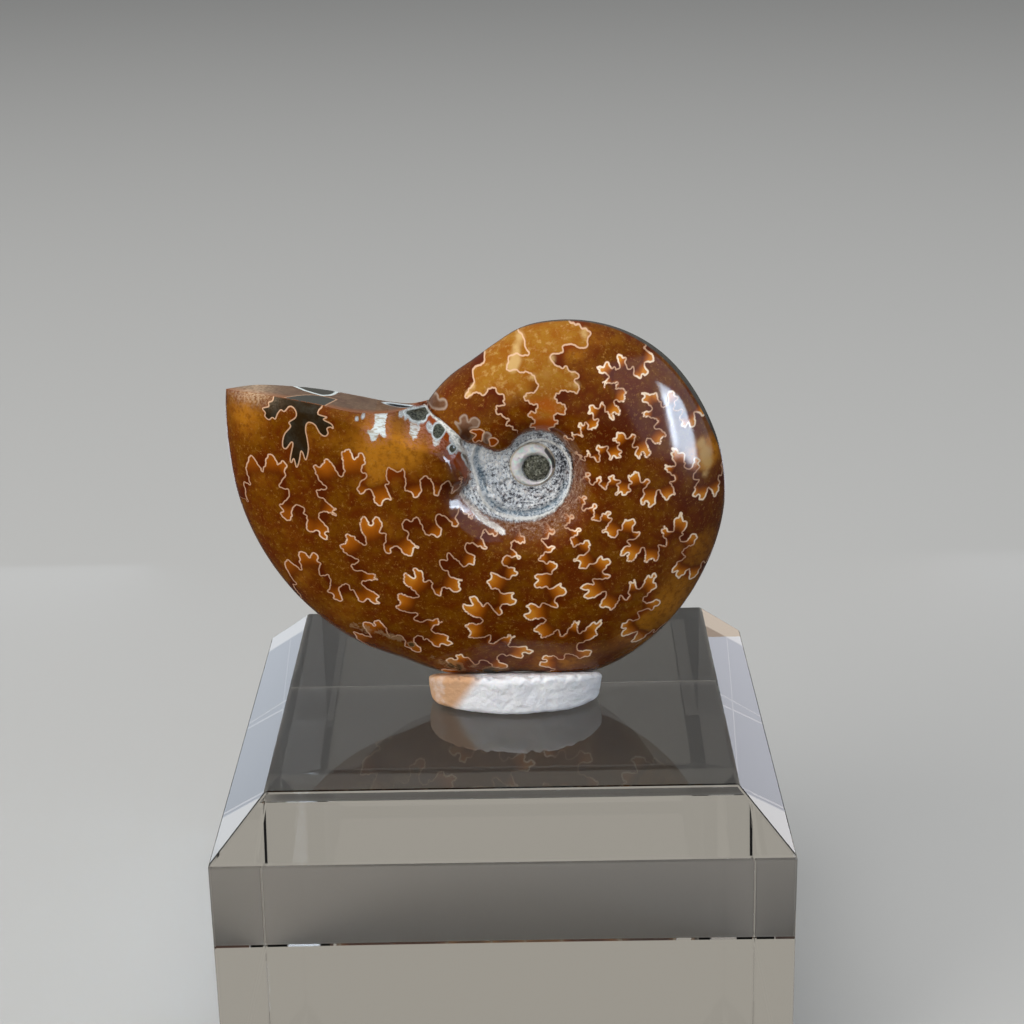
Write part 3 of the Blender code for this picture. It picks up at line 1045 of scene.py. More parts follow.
@dataclass(frozen=True)
class PolishedStone:
    """The polished front: amber calcite chambers, pale suture lines, and the weathered umbilicus."""

    name: str = "polished_fossil_stone"
    gloss: float = 0.3
    # the chambers
    tip: Colour = srgb(208, 132, 36)
    amber: Colour = srgb(176, 96, 14)
    glow: Colour = srgb(140, 72, 6)
    rust: Colour = srgb(148, 66, 2)
    ember: Colour = srgb(84, 29, 0)
    brown: Colour = srgb(98, 40, 0)
    olive: Colour = srgb(112, 64, 0)
    gold: Colour = srgb(186, 120, 28)
    garnet: Colour = srgb(76, 20, 0)
    speck: Colour = srgb(172, 124, 56)
    # the lines and the pale fillings
    line: Colour = srgb(222, 180, 146)
    line_tip: Colour = srgb(255, 236, 210)
    calcite: Colour = srgb(160, 112, 32)
    calcite_dim: Colour = srgb(146, 86, 14)
    calcite_blotch: Colour = srgb(208, 168, 100)
    calcite_deep: Colour = srgb(170, 76, 12)
    cream: Colour = srgb(208, 172, 112)
    # the leaves and stains
    leaf: Colour = srgb(44, 30, 10)
    leaf_slate: Colour = srgb(56, 52, 42)
    leaf_fleck: Colour = srgb(34, 22, 8)
    grey: Colour = srgb(130, 98, 78)
    grey_brown: Colour = srgb(92, 62, 42)
    grey_rim: Colour = srgb(206, 190, 172)
    grey_shade: Colour = srgb(52, 30, 20)
    white: Colour = srgb(218, 228, 228)
    white_rib: Colour = srgb(178, 168, 152)
    white_haze: Colour = srgb(176, 118, 100)
    stain_edge: Colour = srgb(160, 128, 92)
    stain: Colour = srgb(52, 40, 14)
    # the ground mouth
    mouth: Colour = srgb(108, 84, 62)
    mouth_dark: Colour = srgb(88, 62, 44)
    mouth_glow: Colour = srgb(150, 82, 26)
    mouth_fleck: Colour = srgb(134, 100, 78)
    scratch: Colour = srgb(178, 146, 120)
    slate: Pair = (srgb(50, 48, 40), srgb(74, 74, 66))
    pit_rim: Colour = srgb(190, 200, 206)
    pit: Colour = srgb(34, 36, 38)
    # painted highlight near the mouth's tip
    painted_highlight: Colour = srgb(206, 178, 146)
    # painted shade along the venter's rim, where its edge falls in shadow
    venter_painted_shade: Pair = (srgb(46, 44, 40), srgb(96, 94, 88))
    # the seam: pairs that fine noise mixes
    blush: Pair = (srgb(118, 56, 34), srgb(154, 100, 80))
    filling: Pair = (srgb(104, 34, 10), srgb(150, 72, 14))
    powder: Pair = (srgb(212, 222, 228), srgb(150, 156, 158))
    cell_rim: Pair = (srgb(208, 220, 224), srgb(160, 170, 172))
    cell: Pair = (srgb(34, 38, 34), srgb(92, 96, 84))
    seam_line: Pair = (srgb(172, 178, 176), srgb(232, 232, 226))
    crack: Colour = srgb(252, 250, 246)
    # the umbilicus
    dust: Pair = (srgb(122, 84, 62), srgb(196, 170, 150))
    crust: tuple = (
        (0.41, srgb(48, 50, 56)),
        (0.45, srgb(104, 108, 116)),
        (0.485, srgb(182, 186, 192)),
        (0.53, srgb(222, 230, 238)),
        (0.6, srgb(246, 246, 244)),
    )
    crust_warm: Colour = srgb(176, 150, 138)
    crust_blue: Colour = srgb(104, 128, 144)
    ridge: Colour = srgb(234, 234, 230)
    nacre: tuple = (
        (0.3, srgb(200, 216, 224)),
        (0.45, srgb(236, 238, 230)),
        (0.55, srgb(226, 216, 224)),
        (0.66, srgb(206, 232, 222)),
    )
    nacre_fleck: Colour = srgb(240, 240, 236)
    nacre_rim: Colour = srgb(222, 208, 186)
    crystals: tuple = ((0.36, srgb(36, 38, 32)), (0.5, srgb(92, 92, 78)), (0.68, srgb(168, 170, 156)))
    core_rim: Colour = srgb(60, 60, 54)
    slit: Colour = srgb(36, 34, 34)

    def make(self) -> bpy.types.Material:
        """Lay out the material.

        Returns:
            The material.
        """
        board = Board(self.name, clouds=(1.4, 4, 0.6), fine=(0.22, 3, 0.6))
        colour = self.chambers(board)
        for lay in (self.calcite_fill, self.sutures, self.leaves, self.stains, self.seam):
            colour = lay(board, colour)
        colour, matte, relief = self.umbilicus(board, colour)
        colour, satin = self.mouth_face(board, colour)
        # painted shade: a dark grey band along the venter's rim, where its edge falls in shadow
        rim = board.mix(board.fine, *self.venter_painted_shade)
        polish = board.step(board.fine, 0.2, 0.8, (0.06, 0.11))
        polish = board.blend(board.step(board.read("dull"), 0.05, 0.9), polish, 1.0)
        return board.wear(
            Base_Color=board.over(colour, rim, board.read("painted_rim_shade"), -0.06, 0.03),
            Roughness=board.blend(matte, board.blend(satin, polish, 0.34), 0.85),
            IOR=1.5,
            Specular_IOR_Level=self.gloss,
            Normal=board.bump(relief, 0.12, 0.8),
        )

    def chambers(self, board: Board) -> Wire:
        """The brown, olive and gold of the chambers, and the glow at the ends of lobes and saddles.

        Args:
            board: the material's board.

        Returns:
            The chambers' colour.
        """
        line = board.read("suture_line")
        deep = board.times(board.step(line, -0.03, 0.03, (-1, 1)), board.read("suture_glow"))
        tone = board.ragged(board.read("tone"), board.noise(5.0, 3, 0.55, shift=7.0), 1.4)
        body = board.over(self.brown, self.olive, board.clouds, 0.35, 0.65)
        body = board.over(body, self.gold, tone, 0.15, 1.1)
        body = board.mix(board.times(board.step(tone, -0.15, -0.9), 0.8), body, self.garnet)
        # darker shades, pale specks and small dark pits
        for (size, detail, rough), shift, low, high, strength, paint in (
            ((0.6, 4, 0.65), 11.0, 0.54, 0.34, 0.45, self.ember),
            ((0.34, 5, 0.8), 3.0, 0.54, 0.68, 0.6, self.speck),
            ((0.26, 4, 0.8), 21.0, 0.44, 0.32, 0.35, self.ember),
        ):
            there = board.step(board.noise(size, detail, rough, shift=shift), low, high)
            body = board.mix(board.times(there, strength), body, paint)
        warm = board.over(self.ember, self.rust, tone, 0.2, 1.2)
        colour = board.over(warm, body, board.ragged(deep, board.clouds, 0.7), -0.05, 0.6)
        near = board.times(board.step(board.away(line), 0.45, 0.0), 0.3)
        uneven = board.plus(near, board.math("MULTIPLY_ADD", board.clouds, 0.5, 0.68))
        glow = board.times(board.read("ember"), uneven)
        hot = board.ramp(glow, ((0.08, self.ember), (0.36, self.glow), (0.66, self.amber), (1.0, self.tip)))
        return board.over(colour, hot, glow, 0.02, 0.22)

    def sutures(self, board: Board, colour: Socket) -> Wire:
        """The suture lines: thin and pinkish, broader and creamy at their ends.

        Args:
            board: the material's board.
            colour: the colour of the layers beneath.

        Returns:
            The colour with the lines on it.
        """
        away = board.away(board.read("suture_line"))
        ember = board.math("MAXIMUM", board.read("ember"), board.times(board.read("pale_suture"), 0.25))
        width = board.ragged(board.math("MULTIPLY_ADD", ember, 0.048, 0.048), board.fine, 0.04)
        tint = board.over(self.line, self.line_tip, ember, 0.1, 0.85)
        strength = board.times(board.step(ember, 0.0, 0.6, (0.74, 1.0)), board.read("suture_wear"))
        there = board.step(board.math("SUBTRACT", away, width), 0.04, -0.03)
        return board.mix(board.times(there, strength), colour, tint)

    def calcite_fill(self, board: Board, colour: Socket) -> Wire:
        """The pale calcite that fills two of the chambers, and its cream blotches.

        Args:
            board: the material's board.
            colour: the colour of the layers beneath.

        Returns:
            The colour with the calcite on it.
        """
        fill = board.over(self.calcite_dim, self.calcite, board.clouds, 0.3, 0.68)
        blotch = board.step(board.noise(0.7, 4, 0.7, shift=5.0), 0.5, 0.68)
        fill = board.mix(board.times(blotch, 0.5), fill, self.calcite_blotch)
        fill = board.over(fill, self.rust, board.fine, 0.6, 0.4, 0.25)
        fill = board.over(fill, self.calcite_deep, board.read("calcite_rise"), 0.42, 0.1, 0.85)
        inside = board.step(board.read("calcite_edge"), -0.02, 0.08)
        colour = board.mix(board.times(inside, board.read("calcite")), colour, fill)
        cream = board.times(board.read("cream"), board.step(board.clouds, 0.25, 0.6, (0.75, 1.1)))
        return board.over(colour, self.cream, cream, 0.25, 1.15, 0.8)

    def leaves(self, board: Board, colour: Socket) -> Wire:
        """The dark, grey, amber and white leaves near the mouth and the notch.

        Args:
            board: the material's board.
            colour: the colour of the layers beneath.

        Returns:
            The colour with the leaves on it.
        """
        kinds = ("amber", "grey", "dark", "white")
        amber, grey, dark, white = (board.read(f"{kind}_leaf") for kind in kinds)
        colour = board.over(colour, board.mix(board.clouds, self.brown, self.rust), amber, -0.02, 0.05)
        veil = board.over(self.grey, self.grey_brown, board.clouds, 0.3, 0.7)
        veil = board.over(veil, self.grey_rim, grey, 0.3, 0.06, 0.5)
        shade = board.math("MULTIPLY", board.read("leaf_shade"), 0.9, clamp=True)
        veil = board.mix(shade, veil, self.grey_shade)
        colour = board.over(colour, veil, grey, -0.06, 0.1, 0.85)
        colour = board.over(colour, self.line, board.away(amber), 0.09, 0.03, 0.7)
        body = board.over(self.leaf, self.leaf_slate, board.clouds, 0.4, 0.7)
        body = board.over(body, self.leaf_fleck, board.fine, 0.35, 0.7, 0.5)
        colour = board.over(colour, body, dark, -0.02, 0.03)
        colour = board.over(colour, self.line, board.away(dark), 0.08, 0.03, 0.8)
        ribs = board.noise(0.3, 2, 0.5, stretch=(2.5, 1, 0.6), shift=9.0)
        chalk = board.over(self.white, self.white_rib, ribs, 0.55, 0.35)
        haze = board.times(board.step(white, -0.9, 0.0, (0.0, 0.55)), board.step(board.fine, 0.35, 0.6))
        colour = board.mix(haze, colour, self.white_haze)
        return board.over(colour, chalk, board.ragged(white, board.fine, 0.4), -0.08, 0.06)

    def stains(self, board: Board, colour: Socket) -> Wire:
        """The dark stains where the venter is damaged, each with a paler edge.

        Args:
            board: the material's board.
            colour: the colour of the layers beneath.

        Returns:
            The colour with the stains on it.
        """
        stain = board.ragged(board.read("stain"), board.noise(0.4, 3, 0.7), 1.2)
        colour = board.over(colour, self.stain_edge, stain, 0.28, 0.5, 0.65)
        return board.over(colour, self.stain, stain, 0.55, 0.85, 0.85)

    def mouth_face(self, board: Board, colour: Socket) -> tuple[Wire, Wire]:
        """The ground mouth, brown and satin, with a pale line, the mouth of a pit and a painted highlight near
        its tip.

        Args:
            board: the material's board.
            colour: the colour of the rest of the stone.

        Returns:
            The colour, and how satin the surface is.
        """
        ground, slate, pit = board.read("mouth"), board.read("mouth_leaf"), board.read("mouth_pit")
        brown = board.over(self.mouth, self.mouth_dark, board.clouds, 0.3, 0.7)
        brown = board.over(brown, self.mouth_glow, ground, 4.0, 0.6, 0.75)
        brown = board.over(brown, self.mouth_fleck, board.fine, 0.5, 0.8, 0.5)
        scratches = board.noise(0.12, 3, 0.7, stretch=(14, 1, 1), shift=2.0)
        brown = board.over(brown, self.scratch, scratches, 0.5, 0.72, 0.4)
        brown = board.over(brown, board.mix(board.clouds, *self.slate), slate, -0.02, 0.05)
        brown = board.over(brown, self.line, board.away(slate), 0.1, 0.04, 0.6)
        brown = board.over(brown, self.white, board.read("mouth_line"), 0.2, 0.08)
        brown = board.over(brown, self.pit_rim, pit, -0.16, -0.02)
        brown = board.over(brown, self.pit, pit, 0.02, 0.12)
        share = board.step(ground, 0.38, 0.66)
        # painted highlight: pale speckles near the mouth's tip, on the mouth and on the flank just below it
        painted_highlight = board.times(board.read("painted_tip_highlight"), board.step(board.fine, 0.36, 0.66, (0.15, 0.8)))
        return board.mix(painted_highlight, board.mix(share, colour, brown), self.painted_highlight), board.times(share, 0.8)

    def seam(self, board: Board, colour: Socket) -> Wire:
        """The strip along the seam: dark cells in pale rims, amber fillings, the pale line and the crack.

        Args:
            board: the material's board.
            colour: the colour of the layers beneath.

        Returns:
            The colour with the strip on it.
        """
        fine = board.fine

        def mottled(pair: Pair, low: float = 0.35, high: float = 0.65) -> Wire:
            """Two colours that fine noise mixes."""
            return board.over(*pair, fine, low, high)

        colour = board.mix(board.times(board.read("strip"), 0.6), colour, mottled(self.blush))
        colour = board.over(colour, board.mix(fine, *self.filling), board.read("cell_filling"), -0.03, 0.05)
        chalk = board.ragged(board.read("chalk"), fine, 0.7)
        colour = board.over(colour, mottled(self.powder, 0.3, 0.62), chalk, 0.25, 0.6, 0.92)
        cell = board.read("cell")
        colour = board.over(colour, mottled(self.cell_rim), cell, -0.17, -0.06, 0.9)
        colour = board.over(colour, mottled(self.cell, 0.35, 0.7), cell, -0.03, 0.04)
        seam = board.ragged(board.read("seam"), fine, 0.24)
        colour = board.over(colour, mottled(self.seam_line, 0.36, 0.6), seam, 0.07, -0.04, 0.94)
        return board.over(colour, self.crack, board.ragged(board.read("crack"), fine, 0.34), 0.3, 0.14)

    def umbilicus(self, board: Board, colour: Socket) -> tuple[Wire, Wire, Wire]:
        """The weathered umbilicus: speckled crust, a nacre ring and a crystalline core.

        Args:
            board: the material's board.
            colour: the colour of the stone round it.

        Returns:
            The colour, how matte the surface is, and its fine relief.
        """
        fibres = board.noise(0.4, 5, 0.8, shift=4.0)
        speckle = board.noise(0.26, 4, 0.75, shift=6.0)
        along, across = board.read("whorl_along"), board.read("whorl_across")
        lines = board.streaks(along, across, (1.5, 0.16))
        bands = board.streaks(along, across, (6.0, 0.42))
        dusty = board.times(board.read("dust"), board.step(fibres, 0.3, 0.6))
        dust = board.over(*self.dust, board.noise(0.3, 4, 0.8, shift=12.0), 0.48, 0.62)
        colour = board.mix(board.times(dusty, 0.8), colour, dust)

        mark = board.plus(board.times(speckle, 0.7), board.times(lines, 0.3))
        mark = board.plus(mark, board.math("MULTIPLY_ADD", board.read("crust_light"), 0.045, 0.012))
        mark = board.ragged(mark, bands, 0.16)
        crust = board.ramp(mark, self.crust)
        crust = board.over(crust, self.crust_warm, board.noise(0.8, 3, 0.6, shift=1.0), 0.5, 0.72, 0.3)
        margin = board.times(board.read("blue_margin"), board.step(mark, 0.42, 0.56, (0.9, 0.45)))
        crust = board.mix(margin, crust, self.crust_blue)
        ridge = board.ragged(board.read("ridge"), board.fine, 0.3)
        crust = board.over(crust, self.ridge, ridge, 0.19, 0.06, 0.85)
        covered = board.step(board.ragged(board.read("crust"), fibres, 1.0), -0.1, 0.18)
        colour = board.mix(covered, colour, crust)

        nacre, core = board.read("nacre"), board.read("core")
        sheen = board.ramp(board.noise(0.9, 2, 0.5, shift=8.0), self.nacre)
        sheen = board.over(sheen, self.nacre_fleck, speckle, 0.5, 0.66, 0.45)
        colour = board.over(colour, sheen, nacre, 0.0, 0.08)
        colour = board.over(colour, board.ramp(speckle, self.crystals), core, 0.0, 0.1)
        colour = board.over(colour, self.nacre_rim, board.away(board.read("nacre_rim")), 0.11, 0.04, 0.85)
        colour = board.over(colour, self.core_rim, board.away(core), 0.09, 0.02, 0.5)
        colour = board.over(colour, self.slit, board.read("slit"), 0.2, 0.08, 0.92)

        matte = board.math("MAXIMUM", covered, board.times(dusty, 0.5))
        matte = board.math("MAXIMUM", matte, board.step(board.read("white_leaf"), -0.06, 0.04, (0.0, 0.6)))
        matte = board.math("SUBTRACT", matte, board.times(board.step(nacre, 0.0, 0.1), 0.6), clamp=True)
        rough = board.plus(speckle, board.times(lines, 0.7))
        return colour, matte, board.times(board.math("MAXIMUM", covered, 0.03), rough)


@dataclass(frozen=True)
class SawnStone:
    """The flat cut face at the back: chambers lined and filled with calcite, between pale walls."""

    name: str = "sawn_fossil_stone"
    wall: Colour = srgb(222, 204, 176)
    lining: Colour = srgb(176, 124, 70)
    brown: Colour = srgb(84, 40, 16)
    mud: Pair = (srgb(120, 100, 80), srgb(152, 132, 106))
    mud_fleck: Colour = srgb(74, 58, 44)
    # what fills the chambers: (how pale the filling is, colour)
    fillings: tuple = (
        (0.1, srgb(64, 52, 44)),
        (0.3, srgb(84, 40, 16)),
        (0.5, srgb(158, 86, 24)),
        (0.75, srgb(196, 138, 66)),
        (0.95, srgb(220, 190, 140)),
    )

    def make(self) -> bpy.types.Material:
        """Lay out the material.

        Returns:
            The material.
        """
        board = Board(self.name, clouds=(1.3, 4, 0.6), fine=(0.2, 3, 0.6))
        wall = board.read("wall")
        fill = board.ramp(board.ragged(board.read("fill"), board.clouds, 0.3), self.fillings)
        core = board.step(board.ragged(wall, board.clouds, 0.8), 0.5, 1.3)
        colour = board.mix(board.times(core, 0.6), fill, self.brown)
        bands = board.math("SINE", board.times(wall, 14.0))
        rim = board.times(board.step(wall, 0.9, 0.2), board.step(bands, -0.4, 0.6, (0.35, 0.7)))
        colour = board.mix(rim, colour, self.lining)
        mud = board.over(*self.mud, board.clouds, 0.35, 0.65)
        mud = board.over(mud, self.mud_fleck, board.fine, 0.55, 0.75, 0.5)
        colour = board.over(colour, mud, board.read("mud"), 0.0, 0.25)
        past = board.math("SUBTRACT", wall, board.math("MULTIPLY_ADD", board.fine, 0.12, 0.05))
        colour = board.over(colour, self.wall, past, 0.05, -0.02, 0.95)
        return board.wear(
            Base_Color=board.over(colour, self.wall, board.noise(0.3, 3, 0.7, shift=3.0), 0.62, 0.78, 0.25),
            Roughness=board.step(board.fine, 0.2, 0.8, (0.18, 0.3)),
            Coat_Weight=0.4,
            Coat_Roughness=0.08,
            Normal=board.bump(board.fine, 0.01, 0.3),
        )


@dataclass(frozen=True)
class ClearAcrylic:
    """Clear cast acrylic, polished."""

    name: str = "clear_cast_acrylic"
    tint: Colour = (0.985, 0.99, 0.992)

    def make(self) -> bpy.types.Material:
        """Lay out the material."""
        return Board(self.name).wear(Base_Color=self.tint, Transmission_Weight=1.0, IOR=1.49, Roughness=0.0)


@dataclass(frozen=True)
class WhitePutty:
    """White tacky putty, dull and kneaded, tan towards its upper left end."""

    name: str = "kneaded_white_putty"
    white: Colour = srgb(246, 247, 250)
    shade: Colour = srgb(236, 237, 242)
    left_tan: Colour = srgb(208, 164, 126)

    def make(self) -> bpy.types.Material:
        """Lay out the material.

        Returns:
            The material.
        """
        board = Board(self.name, clouds=(2.2, 4, 0.6), fine=(0.36, 4, 0.7))
        colour = board.over(self.white, self.shade, board.clouds, 0.35, 0.7)
        left_tan = board.times(board.read("left_tan"), board.step(board.clouds, 0.25, 0.5, (0.55, 1.0)))
        return board.wear(
            Base_Color=board.mix(left_tan, colour, self.left_tan),
            Roughness=board.step(board.fine, 0.3, 0.7, (0.62, 0.82)),
            Subsurface_Weight=0.15,
            Subsurface_Radius=(1.0, 0.7, 0.5),
            Subsurface_Scale=0.6 * MM,
            Normal=board.bump(board.fine, 0.16, 0.7),
        )


@dataclass(frozen=True)
class PaleFloor:
    """The studio's plain pale floor, darker in gloss, through the block and in what it throws back."""

    name: str = "pale_studio_floor"
    grey: Colour = srgb(184, 184, 182)
    thrown_back: Colour = srgb(128, 126, 120)
    through: Colour = srgb(122, 117, 110)
    in_gloss: Colour = srgb(64, 61, 56)

    def make(self) -> bpy.types.Material:
        """Lay out the material.

        Returns:
            The material.
        """
        board = Board(self.name)
        rays = board.tree.nodes.new("ShaderNodeLightPath").outputs
        colour = board.mix(rays["Is Glossy Ray"], self.thrown_back, self.in_gloss)
        colour = board.mix(rays["Is Transmission Ray"], colour, self.through)
        return board.wear(Base_Color=board.mix(rays["Is Camera Ray"], colour, self.grey), Roughness=0.9)


# ---- Making meshes ----


def deselect_all() -> None:
    """Leave nothing selected."""
    for scene_object in bpy.context.view_layer.objects:
        scene_object.select_set(False)


def make_active(piece: bpy.types.Object) -> None:
    """Select one piece alone and make it the active one.

    Args:
        piece: the piece.
    """
    deselect_all()
    piece.select_set(True)
    bpy.context.view_layer.objects.active = piece


def settle(piece: bpy.types.Object) -> None:
    """Move a piece's place, turn and scale into its mesh."""
    make_active(piece)
    bpy.ops.object.transform_apply(location=True, rotation=True, scale=True)


def apply_modifiers(piece: bpy.types.Object) -> None:
    """Apply all of a piece's modifiers in order.

    Args:
        piece: the piece.
    """
    bpy.context.view_layer.objects.active = piece
    for modifier in list(piece.modifiers):
        bpy.ops.object.modifier_apply(modifier=modifier.name)


def hand_over(piece: bpy.types.Object, node: str) -> None:
    """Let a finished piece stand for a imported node.

    Args:
        piece: the finished piece.
        node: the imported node's name.
    """
    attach(piece, "root")
    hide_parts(node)
    LOG.info("%s: %d faces", piece.name, len(piece.data.polygons))


def write_number(mesh: bpy.types.Mesh, name: str, values: Array) -> None:
    """Write one number for each of a mesh's corners."""
    attribute = mesh.attributes.new(name, "FLOAT", "POINT")
    attribute.data.foreach_set("value", np.asarray(values, np.float32))


def fetched(data: bpy.types.bpy_prop_collection, name: str, width: int = 1) -> Array:
    """Read one property of all items: whole numbers, or rows of decimals where the width is above 1.

    Args:
        data: vertices, edges or faces.
        name: the property's name.
        width: how many numbers an item holds.

    Returns:
        The numbers.
    """
    values = np.zeros(len(data) * width, np.int32 if width == 1 else np.float32)
    data.foreach_get(name, values)
    return values if width == 1 else values.reshape(-1, width)


def round_edges(piece: bpy.types.Object, name: str, width: float, segments: int, angle: float) -> None:
    """Round the edges of a piece that are sharper than an angle in degrees.

    Args:
        piece: the piece.
        name: the modifier's name.
        width: the rounding's width in metres.
        segments: how many faces it has across.
        angle: the angle in degrees.
    """
    rounding = piece.modifiers.new(name, "BEVEL")
    rounding.width = width
    rounding.segments = segments
    rounding.limit_method = "ANGLE"
    rounding.angle_limit = math.radians(angle)
    rounding.harden_normals = False
    apply_modifiers(piece)


def tree_of(points: Array) -> kdtree.KDTree:
    """A tree of (u, w) points, to find the nearest in.

    Args:
        points: the points, one row each.

    Returns:
        The tree.
    """
    tree = kdtree.KDTree(len(points))
    for i, (u, w) in enumerate(points):
        tree.insert((u, w, 0), i)
    tree.balance()
    return tree


def nearest_in(tree: kdtree.KDTree, places: Array) -> tuple[Array, Array]:
    """The number of each place's nearest point, and how far that is."""
    found = [tree.find((u, w, 0)) for u, w in places]
    return np.array([hit[1] for hit in found]), np.array([hit[2] for hit in found])


def thinned(groups: Sequence[tuple[Array, float]]) -> Array:
    """Put groups of points together, without crowding.

    Args:
        groups: each group's points and the least room between them. Earlier groups come first.

    Returns:
        The points that are kept.
    """
    kept = np.zeros((0, 2))
    for points, room in groups:
        together = np.vstack([kept, points])
        _, first = np.unique(np.floor(together / room), axis=0, return_index=True)
        fresh = np.sort(first[first >= len(kept)])
        kept = np.vstack([kept, together[fresh]])
    return kept


def triangulated(edge: Array, points: Array) -> tuple[Array, Array]:
    """Join points inside an edge into triangles.

    Args:
        edge: the closed outline.
        points: the points inside it.

    Returns:
        All the corners, and the triangles as rows of three corner numbers that turn anticlockwise.
    """
    loop = [(i, (i + 1) % len(edge)) for i in range(len(edge))]
    corners = [Vector(point) for point in np.vstack([edge, points])]
    made, _, faces, *_ = geometry.delaunay_2d_cdt(corners, loop, [], 1, 1e-6, False)
    made, faces = np.array([tuple(corner) for corner in made]), np.array(faces)
    faces = faces[within(edge, made[faces].mean(1))]
    first, second, third = made[faces].transpose(1, 0, 2)
    turn = np.cross(second - first, third - first)
    return made, np.where((turn > 0)[:, None], faces, faces[:, ::-1])


def at_depth(plane: Array, depth: Union[Array, float]) -> Array:
    """Corners at (u, w) places and a depth, as (u, depth, w)."""
    return np.stack([plane[:, 0], np.broadcast_to(depth, len(plane)), plane[:, 1]], 1)


def hexagonal(low: Array, high: Array, spacing: float) -> Array:
    """Points at an even spacing over a box, in staggered rows.

    Args:
        low: the box's lower corner.
        high: its upper corner.
        spacing: the step in millimetres.

    Returns:
        The points.
    """
    rows = np.arange(low[1], high[1], spacing * math.sqrt(3) / 2)
    columns = np.arange(low[0], high[0], spacing)
    u, w = np.meshgrid(columns, rows)
    u = u + (np.arange(len(rows)) % 2)[:, None] * spacing / 2
    return np.stack([u.ravel(), w.ravel()], 1)


# ---- The ammonite ----


